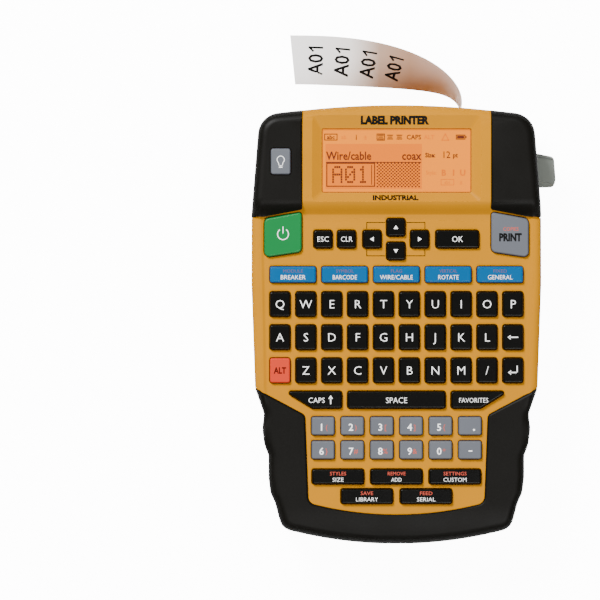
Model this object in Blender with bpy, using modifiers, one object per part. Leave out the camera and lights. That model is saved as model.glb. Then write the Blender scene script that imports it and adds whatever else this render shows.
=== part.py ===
"""A hand-held industrial label maker, lying on its back with its keys up.

Frame: +X to the right of the keyboard, +Y towards the display end, +Z out of the keys. The origin is
on the flat back, on the casing's middle line. All numbers are millimetres; the mesh helpers turn them
into metres. Each visible object is one piece of the assembly.
"""

import math

import bmesh
import bpy
from mathutils import Matrix, Vector

MM = 0.001

# ---- driving dimensions ------------------------------------------------------------------------------
GAP = 0.3                # between pieces that touch
WALL = 2.2               # casing wall
FLOOR = 2.8              # the rear casing's flat back
SPLIT_Z = 28.5           # where the rear casing meets the front casing
DECK_Z = 48.0            # keyboard deck
BROW_Z = 53.0            # deck round the display
RAMP_Y = (52.0, 59.5)    # slope between the two decks
BUMPER_LIFT = 1.4        # how far the rubber bumpers stand above the deck they cover
BUMPER_LOW_Z = 4.0       # lowest edge of the rubber bumpers
BUMPER_THICK = 2.0       # rubber on the sides of the casing

KEY_CLEARANCE = 0.45     # gap round a key in its hole
KEY_LOW_Z = 41.8
KEY_TOP_Z = 50.4
ROW_BAR_TOP_Z = 43.2     # bar that ties a row of keys together, under the deck
ROW_BAR_HALF_Y = 2.5
KEY_BEVEL = 0.6
KEY_FLANGE = 0.8         # rim that keeps a single key under the deck

LETTER_PITCH = (12.5, 16.0)
LETTER_SIZE = (9.9, 12.1)
LETTER_ROWS_Y = (10.1, -5.9, -21.9)
DIGIT_PITCH = 14.2
DIGIT_SIZE = (11.2, 8.9)
DIGIT_ROWS_Y = (-48.7, -60.3)
FUNCTION_PITCH = 25.0
FUNCTION_SIZE = (22.4, 7.9)
FUNCTION_Y = 24.4
WIDE_SIZE = (25.2, 7.3)
SMALL_SIZE = (9.1, 8.7)
CURSOR_Y = 41.5
CURSOR_STEP = (11.5, 5.7)
OK_KEY = (29.4, 21.0)
SPACE_SIZE = (47.4, 8.4)
SPACE_Y = -36.1
LIGHT_KEY = (-55.9, 78.9, 9.6, 12.6)

WINDOW_CENTRE_Y = 79.4
WINDOW_SIZE = (72.0, 31.0)
BEZEL_SIZE = (80.4, 40.6)
BEZEL_FLOOR_Z = 50.6

TAPE_X = 32.0            # plane of the label tape on its way out
TAPE_Z = 15.6            # middle of the tape's width
TAPE_WIDTH = 24.0
TAPE_THICK = 0.4
EXIT_SLOT_WIDTH = 1.8

BAY_X = 46.0             # half the inner width of the cassette bay
BAY_Y = (22.0, 90.0)
BAY_FLOOR_Z = 29.5
BAY_WALL = 1.4
COVER_THICK = 1.9
COVER_LOW_Z = 0.3
COVER_X = 48.6           # half the width of the cassette cover
COVER_Y = (19.2, 92.6)
HINGE_AT = (20.0, 1.1)   # (y, z) of the cassette cover's hinge
HINGE_RADIUS = 0.78

BATTERY_X = 30.0
BATTERY_Y = (-88.0, -18.0)
BATTERY_Z = (2.8, 22.0)
BATTERY_COVER_X = 33.0
BATTERY_COVER_Y = (-108.5, -14.0)

GEAR_Z = (31.8, 35.0)
GEAR_MODULE = 0.6
PLATEN_AT = (37.3, 74.5)
PLATEN_RADIUS = 5.1
PINION_TEETH, PLATEN_TEETH, IDLER_TEETH, RIBBON_TEETH = 10, 30, 20, 24
MOTOR_RADIUS = 6.2

TAPE_SPOOL_AT, TAPE_SPOOL_RADIUS = (-20.0, 56.0), 19.0
RIBBON_SUPPLY_AT, RIBBON_SUPPLY_RADIUS = (13.0, 44.0), 8.6
RIBBON_TAKEUP_RADIUS = 7.2

LEVER_PIVOT = (60.5, 54.0)
LEVER_Z = (9.0, 23.0)
LEVER_PIN_RADIUS = 1.6
BLADE_Y = 97.0
BLADE_Z = (3.4, 28.0)

SCREWS_AT = ((64.3, 20.0), (-64.3, 20.0), (42.0, -94.2), (-42.0, -94.2))
SCREW_SHANK_RADIUS, SCREW_HEAD_RADIUS = 1.4, 2.9
BOSS_RADIUS = 3.6

# ---- outlines: corners as (x, y, rounding radius), the right-hand half from top to bottom ------------
OUTER_RIGHT = (
    (0.0, 108.6, 400.0),
    (66.2, 101.6, 11.0),
    (70.2, 52.0, 30.0),
    (70.2, 20.0, 120.0),
    (68.4, -30.4, 0.8),
    (64.2, -42.5, 3.0),
    (55.0, -99.8, 8.0),
    (0.0, -112.2, 205.0),
)
CORE_RIGHT = (
    (0.0, 108.6, 400.0),
    (45.2, 103.75, 0.0),
    (45.2, 101.8, 0.0),
    (64.3, 99.6, 9.0),
    (68.0, 52.0, 0.0),
    (70.0, 52.0, 0.8),
    (70.1, 20.0, 120.0),
    (68.3, -30.2, 0.0),
    (66.0, -30.2, 0.0),
    (62.2, -43.0, 3.0),
    (53.0, -97.8, 7.0),
    (0.0, -110.1, 205.0),
)
HOLLOW_RIGHT = (
    (0.0, 105.9, 390.0),
    (62.2, 97.8, 8.0),
    (65.8, 52.0, 30.0),
    (67.6, 20.0, 120.0),
    (65.2, -28.0, 4.0),
    (59.9, -43.0, 3.0),
    (50.8, -95.8, 5.0),
    (0.0, -107.6, 195.0),
)
BUMPER_INNER_RIGHT = (
    (67.6, -30.8, 0.0),
    (44.0, -43.4, 3.0),
    (42.4, -86.0, 4.0),
    (0.0, -96.0, 160.0),
)
TOP_BUMPER = (
    (45.5, 104.3, 0.6),
    (66.2, 101.6, 11.0),
    (70.2, 52.35, 0.8),
    (63.9, 52.35, 0.0),
    (45.5, 55.75, 0.8),
)
POWER_KEY = ((-63.9, 51.3, 2.0), (-63.9, 32.6, 2.0), (-45.7, 35.3, 2.0), (-45.7, 54.7, 1.0))
CAPS_KEY = ((-52.0, -31.9, 1.4), (-51.6, -33.6, 1.0), (-40.7, -40.3, 1.0), (-26.3, -40.3, 0.6),
            (-26.3, -31.9, 0.6))
# The casing from the side: (y, z, rounding radius)
SIDE_PROFILE = (
    (-116.0, 0.0, 0.0),
    (116.0, 0.0, 0.0),
    (116.0, 48.6, 0.0),
    (99.0, BROW_Z, 12.0),
    (RAMP_Y[1], BROW_Z, 3.0),
    (RAMP_Y[0], DECK_Z, 3.0),
    (-90.0, DECK_Z, 30.0),
    (-116.0, 41.0, 0.0),
)

# ---- colours: (base colour, roughness, metallic) -----------------------------------------------------
FINISHES = {
    "yellow_plastic": ((0.86, 0.47, 0.03), 0.42, 0.0),
    "black_rubber": ((0.02, 0.02, 0.018), 0.6, 0.0),
    "black_key": ((0.012, 0.012, 0.012), 0.45, 0.0),
    "grey_key": ((0.17, 0.19, 0.21), 0.5, 0.0),
    "green_key": ((0.0, 0.32, 0.06), 0.45, 0.0),
    "blue_key": ((0.0, 0.16, 0.4), 0.45, 0.0),
    "red_key": ((0.75, 0.06, 0.03), 0.45, 0.0),
    "grey_lever": ((0.2, 0.22, 0.2), 0.45, 0.0),
    "dark_plastic": ((0.03, 0.03, 0.032), 0.5, 0.0),
    "white_plastic": ((0.75, 0.75, 0.72), 0.5, 0.0),
    "steel": ((0.6, 0.6, 0.62), 0.3, 1.0),
    "circuit_board": ((0.01, 0.13, 0.05), 0.45, 0.0),
    "silicone": ((0.08, 0.08, 0.085), 0.7, 0.0),
    "display": ((1.0, 0.36, 0.13), 0.35, 0.0),
    "clear_window": ((0.9, 0.62, 0.42), 0.05, 0.0),
    "label_tape": ((0.86, 0.84, 0.82), 0.35, 0.0),
}


def finish(name):
    """A Principled material, made once for each name."""
    if name in bpy.data.materials:
        return bpy.data.materials[name]
    colour, roughness, metallic = FINISHES[name]
    material = bpy.data.materials.new(name)
    material.use_nodes = True
    shader = material.node_tree.nodes["Principled BSDF"]
    shader.inputs["Base Color"].default_value = (*colour, 1.0)
    shader.inputs["Roughness"].default_value = roughness
    shader.inputs["Metallic"].default_value = metallic
    return material


# ---- outline helpers ---------------------------------------------------------------------------------
def mirrored(right_half):
    """A closed outline from its right-hand half, which may start and end on x = 0."""
    left = [(-x, y, r) for x, y, r in reversed(right_half) if x > 0]
    return list(right_half) + left


def rounded(corners, steps=4):
    """Points of a closed outline whose corners are (x, y, radius) arcs."""
    points = []
    count = len(corners)
    for i, (x, y, radius) in enumerate(corners):
        corner = Vector((x, y))
        before = Vector(corners[i - 1][:2]) - corner
        after = Vector(corners[(i + 1) % count][:2]) - corner
        turn = math.pi - before.angle(after)
        if radius <= 0 or turn < 1e-4:
            points.append((x, y))
            continue
        reach = radius * math.tan(turn / 2)
        reach = min(reach, 0.49 * before.length, 0.49 * after.length) if radius < 50 else reach
        radius = reach / math.tan(turn / 2)
        start = corner + before.normalized() * reach
        bisector = (before.normalized() + after.normalized()).normalized()
        centre = corner + bisector * (radius / math.cos(turn / 2))
        arm = start - centre
        way = 1 if before.x * after.y - before.y * after.x < 0 else -1
        arc_steps = 6 if radius > 50 else max(1, round(steps * turn / (math.pi / 2)))
        for k in range(arc_steps + 1):
            angle = way * turn * k / arc_steps
            spot = centre + Matrix.Rotation(angle, 2) @ arm
            points.append((spot.x, spot.y))
    return points


def offset(corners, distance):
    """The closed outline's corners moved outwards by distance, their radii with them."""
    count = len(corners)
    area = sum(corners[i - 1][0] * corners[i][1] - corners[i][0] * corners[i - 1][1] for i in range(count))
    way = 1 if area > 0 else -1
    moved = []
    for i, (x, y, radius) in enumerate(corners):
        here = Vector((x, y))
        along_in = (here - Vector(corners[i - 1][:2])).normalized()
        along_out = (Vector(corners[(i + 1) % count][:2]) - here).normalized()
        out_in = Vector((along_in.y, -along_in.x)) * way
        out_out = Vector((along_out.y, -along_out.x)) * way
        bisector = out_in + out_out
        shift = bisector * (2 * distance / bisector.length_squared)
        convex = (along_in.x * along_out.y - along_in.y * along_out.x) * way > 0
        new_radius = max(0.0, radius + (distance if convex else -distance)) if radius > 0 else 0.0
        moved.append((x + shift.x, y + shift.y, new_radius))
    return moved


def rectangle(x, y, width, height, radius=0.0):
    """Corners of a rectangle about its centre."""
    a, b = width / 2, height / 2
    return [(x - a, y - b, radius), (x + a, y - b, radius), (x + a, y + b, radius), (x - a, y + b, radius)]


def circle(x, y, radius, sides):
    """Points of a regular polygon about its centre."""
    return [
        (x + radius * math.cos(2 * math.pi * k / sides), y + radius * math.sin(2 * math.pi * k / sides))
        for k in range(sides)
    ]


# ---- mesh helpers ------------------------------------------------------------------------------------
AXES = {
    "Z": Matrix.Identity(4),
    "X": Matrix(((0, 0, 1, 0), (1, 0, 0, 0), (0, 1, 0, 0), (0, 0, 0, 1))),
    "Y": Matrix(((1, 0, 0, 0), (0, 0, -1, 0), (0, 1, 0, 0), (0, 0, 0, 1))),
}


def baked(obj):
    """Replaces the object's data with its evaluated mesh, closed and facing out."""
    bpy.context.view_layer.update()
    graph = bpy.context.evaluated_depsgraph_get()
    mesh = bpy.data.meshes.new_from_object(obj.evaluated_get(graph))
    shape = bmesh.new()
    shape.from_mesh(mesh)
    bmesh.ops.remove_doubles(shape, verts=shape.verts, dist=1e-6)
    bmesh.ops.recalc_face_normals(shape, faces=shape.faces)
    shape.to_mesh(mesh)
    shape.free()
    made = bpy.data.objects.new(obj.name, mesh)
    made.matrix_world = obj.matrix_world.copy()
    name = obj.name
    bpy.data.objects.remove(obj)
    made.name = name
    bpy.context.scene.collection.objects.link(made)
    return made


def plate(outline, low, high, axis="Z", name="plate"):
    """A flat outline of (x, y) points, made solid from low to high along an axis."""
    curve = bpy.data.curves.new(name, "CURVE")
    curve.dimensions = "2D"
    curve.fill_mode = "BOTH"
    curve.extrude = (high - low) / 2 * MM
    spline = curve.splines.new("POLY")
    spline.points.add(len(outline) - 1)
    for point, (x, y) in zip(spline.points, outline):
        point.co = (x * MM, y * MM, 0.0, 1.0)
    spline.use_cyclic_u = True
    obj = bpy.data.objects.new(name, curve)
    bpy.context.scene.collection.objects.link(obj)
    obj = baked(obj)
    obj.data.transform(Matrix.Translation((0, 0, (low + high) / 2 * MM)))
    obj.data.transform(AXES[axis])
    return obj


def block(x, y, z):
    """A box from three (low, high) pairs."""
    obj = plate(rounded([(x[0], y[0], 0), (x[1], y[0], 0), (x[1], y[1], 0), (x[0], y[1], 0)]), z[0], z[1])
    return obj


def disc(x, y, radius, low, high, sides=24, axis="Z"):
    """A round bar between two heights."""
    return plate(circle(x, y, radius, sides), low, high, axis)


def boolean(target, operation, others):
    """Cuts, joins or intersects the target with each of the others, which are used up."""
    for other in others:
        modifier = target.modifiers.new(operation.lower(), "BOOLEAN")
        modifier.operation = operation
        modifier.object = other
        modifier.solver = "EXACT"
        target = baked(target)
        bpy.data.objects.remove(other)
    return target


def cut(target, *others):
    return boolean(target, "DIFFERENCE", others)


def join(target, *others):
    return boolean(target, "UNION", others)


def common(target, *others):
    return boolean(target, "INTERSECT", others)


def bevelled(obj, width, segments=1, angle=40):
    """Rounds the sharp edges with a Bevel that stays on the object."""
    modifier = obj.modifiers.new("edges", "BEVEL")
    modifier.width = width * MM
    modifier.segments = segments
    modifier.limit_method = "ANGLE"
    modifier.angle_limit = math.radians(angle)
    return obj


def node(obj, name, finish_name, axis_at=None):
    """Names a finished piece and paints it. axis_at moves its origin to its joint's axis."""
    obj.name = name
    obj.data.name = name
    obj.data.materials.clear()
    obj.data.materials.append(finish(finish_name))
    if axis_at:
        at = Vector(axis_at) * MM
        obj.data.transform(Matrix.Translation(-at))
        obj.location = at
    bpy.context.scene.collection.objects.unlink(obj)
    bpy.data.collections["label_maker"].objects.link(obj)
    return obj


# ---- casing ------------------------------------------------------------------------------------------
def envelope(distance, low=None, high=None):
    """The casing's outer form as one solid, moved outwards by distance."""
    prism = plate(rounded(offset(mirrored(CORE_RIGHT), distance)), -5, 60)
    side = plate(rounded(offset(SIDE_PROFILE, distance)), -90, 90, "X")
    body = common(prism, side)
    if low is not None:
        body = common(body, block((-90, 90), (-130, 130), (low, high)))
    return body


def hollow():
    """The room inside the casing as one solid, open upwards of the floor."""
    prism = plate(rounded(mirrored(HOLLOW_RIGHT)), FLOOR, 60)
    side = plate(rounded(offset(SIDE_PROFILE, -WALL)), -90, 90, "X")
    return common(prism, side)


def key_list():
    """Every key as (body name, finish, [outlines]). Keys of one row share a body."""
    rectangles = {}

    def add(name, paint, *corner_lists):
        rectangles[name] = (paint, [list(c) for c in corner_lists])

    mirror_x = lambda corners: [(-x, y, r) for x, y, r in reversed(corners)]
    add("key_light", "grey_key", rectangle(*LIGHT_KEY, 0.8))
    add("key_power", "green_key", POWER_KEY)
    add("key_print", "grey_key", mirror_x(POWER_KEY))
    step_x, step_y = CURSOR_STEP
    for name, x, y in (
        ("key_escape", -35.5, CURSOR_Y),
        ("key_clear", -24.1, CURSOR_Y),
        ("key_left", -step_x - 0.3, CURSOR_Y),
        ("key_right", step_x - 0.3, CURSOR_Y),
        ("key_up", -0.3, CURSOR_Y + step_y),
        ("key_down", -0.3, CURSOR_Y - step_y),
    ):
        add(name, "black_key", rectangle(x, y, *SMALL_SIZE, 0.7))
    add("key_ok", "black_key", rectangle(OK_KEY[0], CURSOR_Y, OK_KEY[1], SMALL_SIZE[1], 0.7))
    add("keys_function_row", "blue_key",
        *[rectangle((i - 2) * FUNCTION_PITCH, FUNCTION_Y, *FUNCTION_SIZE, 0.6) for i in range(5)])
    columns = [(i - 4.5) * LETTER_PITCH[0] for i in range(10)]
    letter = lambda i, row: rectangle(columns[i], LETTER_ROWS_Y[row], *LETTER_SIZE, 0.7)
    add("keys_letters_upper", "black_key", *[letter(i, 0) for i in range(10)])
    add("keys_letters_home", "black_key", *[letter(i, 1) for i in range(9)])
    add("keys_letters_lower", "black_key", *[letter(i, 2) for i in range(1, 9)])
    add("key_backspace", "black_key", letter(9, 1))
    add("key_enter", "black_key", letter(9, 2))
    add("key_alt", "red_key", letter(0, 2))
    add("key_caps", "black_key", CAPS_KEY)
    add("key_favorites", "black_key", mirror_x(CAPS_KEY))
    add("key_space", "black_key", rectangle(0, SPACE_Y, *SPACE_SIZE, 0.7))
    for name, y in (("keys_digits_upper", DIGIT_ROWS_Y[0]), ("keys_digits_lower", DIGIT_ROWS_Y[1])):
        add(name, "grey_key", *[rectangle((i - 2.5) * DIGIT_PITCH, y, *DIGIT_SIZE, 0.6) for i in range(6)])
    add("keys_edit_row", "black_key", *[rectangle(i * 28.25, -73.2, *WIDE_SIZE, 0.6) for i in (-1, 0, 1)])
    add("keys_file_row", "black_key", *[rectangle(i * 14.3, -82.7, *WIDE_SIZE, 0.6) for i in (-1, 1)])
    return rectangles


def make_keys():
    for name, (paint, outlines) in key_list().items():
        high = KEY_TOP_Z + (BROW_Z - DECK_Z + BUMPER_LIFT - 1.2 if name == "key_light" else 0)
        bodies = [plate(rounded(corners, 1), KEY_LOW_Z, high) for corners in outlines]
        key = bodies[0]
        if len(bodies) > 1:
            y = sum(c[1] for c in outlines[0]) / len(outlines[0])
            left, right = outlines[0][0][0] + 2, outlines[-1][1][0] - 2
            bar = block((left, right), (y - ROW_BAR_HALF_Y, y + ROW_BAR_HALF_Y), (KEY_LOW_Z + 0.02, ROW_BAR_TOP_Z))
            key = join(bar, *bodies)
        else:
            key = baked(bevelled(key, KEY_BEVEL, 1, 60))
            key = join(key, plate(rounded(offset(outlines[0], KEY_FLANGE), 1), KEY_LOW_Z - 0.1, ROW_BAR_TOP_Z))
        spots = [c for corners in outlines for c in corners]
        middle = [sum(c[i] for c in spots) / len(spots) for i in (0, 1)]
        node(key, name, paint, (*middle, KEY_LOW_Z))


def key_cutters(low, high):
    """One cutter for each key hole."""
    return [
        plate(rounded(offset(corners, KEY_CLEARANCE), 1), low, high)
        for _, outlines in key_list().values()
        for corners in outlines
    ]


def frustum(x, y, low_size, high_size, low, high):
    """A box whose sides slope from one rectangle to a larger one above it."""
    mesh = bpy.data.meshes.new("frustum")
    shape = bmesh.new()
    bmesh.ops.create_cube(shape, size=1.0)
    for vertex in shape.verts:
        size, z = (high_size, high) if vertex.co.z > 0 else (low_size, low)
        vertex.co = Vector((x + vertex.co.x * size[0], y + vertex.co.y * size[1], z)) * MM
    shape.to_mesh(mesh)
    shape.free()
    obj = bpy.data.objects.new("frustum", mesh)
    bpy.context.scene.collection.objects.link(obj)
    return obj


def make_casing():
    front = cut(envelope(0, SPLIT_Z + GAP, 70), hollow())
    for x, y in SCREWS_AT:
        front = join(front, disc(x, y, BOSS_RADIUS, SPLIT_Z + GAP + 0.1, 38.0, 16))
        front = cut(front, disc(x, y, SCREW_SHANK_RADIUS + GAP, SPLIT_Z - 1, 35.0, 12))
    front = cut(front, *key_cutters(DECK_Z - 8, BROW_Z + 10))
    width, height = WINDOW_SIZE
    lift = BROW_Z - BEZEL_FLOOR_Z
    grow = 1 + 1.0 / lift
    slope = [(b - a) * grow + a for a, b in zip(WINDOW_SIZE, BEZEL_SIZE)]
    front = cut(front, frustum(0, WINDOW_CENTRE_Y, WINDOW_SIZE, slope, BEZEL_FLOOR_Z, BROW_Z + 1.0))
    front = cut(front, block((-width / 2, width / 2),
                             (WINDOW_CENTRE_Y - height / 2, WINDOW_CENTRE_Y + height / 2), (BROW_Z - 8, BROW_Z)))
    node(front, "front_casing", "yellow_plastic")

    rear = cut(envelope(0, -1, SPLIT_Z), hollow())
    rear = cut(rear, block((-BATTERY_X - 1, BATTERY_X + 1), (BATTERY_Y[0] - 1, BATTERY_Y[1] + 1), (-1, 5)))
    pocket = cut(block((-BATTERY_X - 3, BATTERY_X + 3), (BATTERY_Y[0] - 3, BATTERY_Y[1] + 3), (0.5, BATTERY_Z[1] + 2.5)),
                 block((-BATTERY_X - 1, BATTERY_X + 1), (BATTERY_Y[0] - 1, BATTERY_Y[1] + 1), (-1, BATTERY_Z[1] + 1)))
    rear = join(rear, pocket)
    for x, y in SCREWS_AT:
        rear = join(rear, disc(x, y, BOSS_RADIUS, 0.6, SPLIT_Z - 0.1, 16))
        rear = cut(rear, disc(x, y, SCREW_SHANK_RADIUS + GAP, -1, SPLIT_Z + 1, 12))
        rear = cut(rear, disc(x, y, SCREW_HEAD_RADIUS + GAP, -1, 3.2, 16))
    # openings of the cassette bay and of the battery compartment, each with a ledge for its cover
    rear = cut(rear, plate(rounded(rectangle(0, (BAY_Y[0] + BAY_Y[1]) / 2, 2 * BAY_X + 3.4,
                                             BAY_Y[1] - BAY_Y[0] + 3.4)), -1, 6))
    x, low_y, high_y = COVER_X + GAP, COVER_Y[0] - GAP, COVER_Y[1] + GAP
    recess = [(-x, low_y, 0.0), (x, low_y, 0.0), (x, high_y, 3.0), (-x, high_y, 3.0)]
    rear = cut(rear, plate(rounded(recess), -1, COVER_THICK + 0.1), disc(*HINGE_AT, 0.7, -x - 0.8, x + 0.8, 12, "X"))
    for x, low in ((BATTERY_COVER_X + GAP, -1), (BATTERY_COVER_X + 1 + GAP, 0.7)):
        rear = cut(rear, block((-x, x), (-130, BATTERY_COVER_Y[1] + GAP), (low, COVER_THICK - 0.1)))
    # way out for the tape, slot for the cutter lever, hole for the power jack
    rear = cut(rear, block((TAPE_X - EXIT_SLOT_WIDTH / 2, TAPE_X + EXIT_SLOT_WIDTH / 2), (98, 115),
                           (TAPE_Z - TAPE_WIDTH / 2 - 0.6, SPLIT_Z + 5)))
    rear = cut(rear, block((62, 75), (65.8, 88.0), (LEVER_Z[0] - 0.6, LEVER_Z[1] + 0.6)))
    rear = cut(rear, disc(40.0, 16.0, 4.2, -75, -60, 20, "X"))
    node(rear, "rear_casing", "yellow_plastic")


def make_bumpers():
    for side, name in ((-1, "top_left_bumper"), (1, "top_right_bumper")):
        corners = [(side * x, y, r) for x, y, r in TOP_BUMPER]
        bumper = plate(rounded(corners), BUMPER_LOW_Z, BROW_Z + BUMPER_LIFT)
        bumper = cut(bumper, envelope(GAP))
        if side < 0:
            bumper = cut(bumper, plate(rounded(offset(rectangle(*LIGHT_KEY, 0.8), KEY_CLEARANCE), 1), 45, 60))
        else:
            bumper = cut(bumper, block((55, 75), (65.8, 88.0), (LEVER_Z[0] - 0.6, LEVER_Z[1] + 0.6)))
        node(bumper, name, "black_rubber")
    lower_right = [c for c in OUTER_RIGHT if c[1] < -30.3]
    inner = list(BUMPER_INNER_RIGHT)
    ring = lower_right + [(-x, y, r) for x, y, r in reversed(lower_right) if x > 0]
    ring += [(-x, y, r) for x, y, r in inner] + [(x, y, r) for x, y, r in reversed(inner) if x > 0]
    bumper = plate(rounded(ring), BUMPER_LOW_Z, DECK_Z + BUMPER_LIFT)
    bumper = cut(bumper, envelope(GAP))
    # the front follows the casing's fall towards its lower end
    fall = offset(SIDE_PROFILE, BUMPER_LIFT)
    bumper = common(bumper, plate(rounded(fall), -90, 90, "X"))
    node(bumper, "lower_bumper", "black_rubber")


# ---- display and electronics -------------------------------------------------------------------------
def make_electronics():
    width, height = WINDOW_SIZE
    x, y = width / 2 - GAP, height / 2 - GAP
    window = block((-x, x), (WINDOW_CENTRE_Y - y, WINDOW_CENTRE_Y + y), (BEZEL_FLOOR_Z - 1.6, BEZEL_FLOOR_Z - 0.2))
    node(window, "display_window", "clear_window")
    lcd = block((-37.5, 37.5), (61.5, 97.3), (41.5, 45.8))
    lcd = join(lcd, block((-x + 0.5, x - 0.5), (WINDOW_CENTRE_Y - y + 0.5, WINDOW_CENTRE_Y + y - 0.5), (45, BEZEL_FLOOR_Z - 1.9)))
    node(lcd, "lcd_module", "display")
    board = plate(rounded([(-60, 50, 3), (-60, -26, 3), (-40, -42, 3), (-38, -88, 3),
                           (38, -88, 3), (40, -42, 3), (60, -26, 3), (60, 50, 3)], 2), 36.0, 37.6)
    for chip in (((-14, 2), (-10, 6), (33.8, 36.1)), ((14, 24), (-14, -6), (34.4, 36.1)),
                 ((-40, -30), (20, 34), (33.0, 36.1))):
        board = join(board, block(*chip))
    node(board, "main_board", "circuit_board")
    mat = plate(rounded([(-61, 51, 3), (-61, -27, 3), (-41.5, -42, 3), (-40, -90, 3),
                         (40, -90, 3), (41.5, -42, 3), (61, -27, 3), (61, 51, 3)], 2), 38.0, 39.6)
    node(mat, "keypad_mat", "silicone")
    jack = block((-65.8, -54), (35.0, 45.0), (11.0, 21.0))
    jack = cut(jack, disc(40.0, 16.0, 3.4, -70, -56, 20, "X"))
    node(jack, "power_jack", "dark_plastic")
    battery = block((-BATTERY_X, BATTERY_X), BATTERY_Y, BATTERY_Z)
    node(bevelled(battery, 2.0, 2), "battery_pack", "dark_plastic")


# ---- covers ------------------------------------------------------------------------------------------
def make_covers():
    y, z = HINGE_AT
    corners = [(-COVER_X, y, 0.0), (COVER_X, y, 0.0), (COVER_X, COVER_Y[1], 2.7), (-COVER_X, COVER_Y[1], 2.7)]
    cover = plate(rounded(corners), COVER_LOW_Z, COVER_THICK)
    cover = join(cover, disc(y, z, HINGE_RADIUS, -COVER_X, COVER_X, 16, "X"))
    cover = join(cover, disc(y, z, 0.4, -COVER_X - 0.8, COVER_X + 0.8, 10, "X"))
    cover = join(cover, block((-8, 8), (88.4, 89.4), (1.2, 6.2)))
    node(cover, "cassette_cover", "yellow_plastic", (0, y, z))
    low_y, high_y = BATTERY_COVER_Y
    cover = block((-BATTERY_COVER_X, BATTERY_COVER_X), BATTERY_COVER_Y, (COVER_LOW_Z, COVER_THICK - 0.4))
    cover = join(cover, block((-BATTERY_COVER_X - 1, BATTERY_COVER_X + 1), BATTERY_COVER_Y, (1.0, COVER_THICK - 0.4)))
    outline = plate(rounded(offset(mirrored(CORE_RIGHT), 0)), -5, 60)
    cover = common(cover, outline)
    for k in range(6):
        y = high_y - 8 - 2.6 * k
        cover = cut(cover, block((-12, 12), (y - 0.6, y + 0.6), (-1, COVER_LOW_Z + 0.5)))
    node(cover, "battery_cover", "yellow_plastic", (0, (low_y + high_y) / 2, 1))


# ---- cassette, print head and drive ------------------------------------------------------------------
def gear(at, teeth, phase, low, high):
    """A spur gear with straight-sided teeth; a tooth is centred on the angle phase."""
    radius = teeth * GEAR_MODULE / 2
    root, tip = radius - 1.2 * GEAR_MODULE, radius + 0.85 * GEAR_MODULE
    pitch = 2 * math.pi / teeth
    points = []
    for k in range(teeth):
        for turn, r in ((-0.27, root), (-0.10, tip), (0.10, tip), (0.27, root)):
            angle = phase + (k + turn) * pitch
            points.append((at[0] + r * math.cos(angle), at[1] + r * math.sin(angle)))
    return plate(points, low, high)


def meshed(at, teeth, phase, direction, other_teeth):
    """Centre and phase of a gear that meshes with the one at `at`, in the given direction."""
    distance = (teeth + other_teeth) * GEAR_MODULE / 2
    centre = (at[0] + distance * math.cos(direction), at[1] + distance * math.sin(direction))
    other = direction + math.pi + math.pi / other_teeth - (phase - direction) * teeth / other_teeth
    return centre, other


def spool(at, radius, hub_radius, bore_radius):
    """Tape wound on a hub between two thin ends of the hub."""
    low, high = TAPE_Z - TAPE_WIDTH / 2, TAPE_Z + TAPE_WIDTH / 2
    wound = disc(*at, radius, low, high, 36)
    wound = join(wound, disc(*at, hub_radius, low - 0.4, high + 0.6, 24))
    return cut(wound, disc(*at, bore_radius, low - 2, high + 2, 16))


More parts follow.
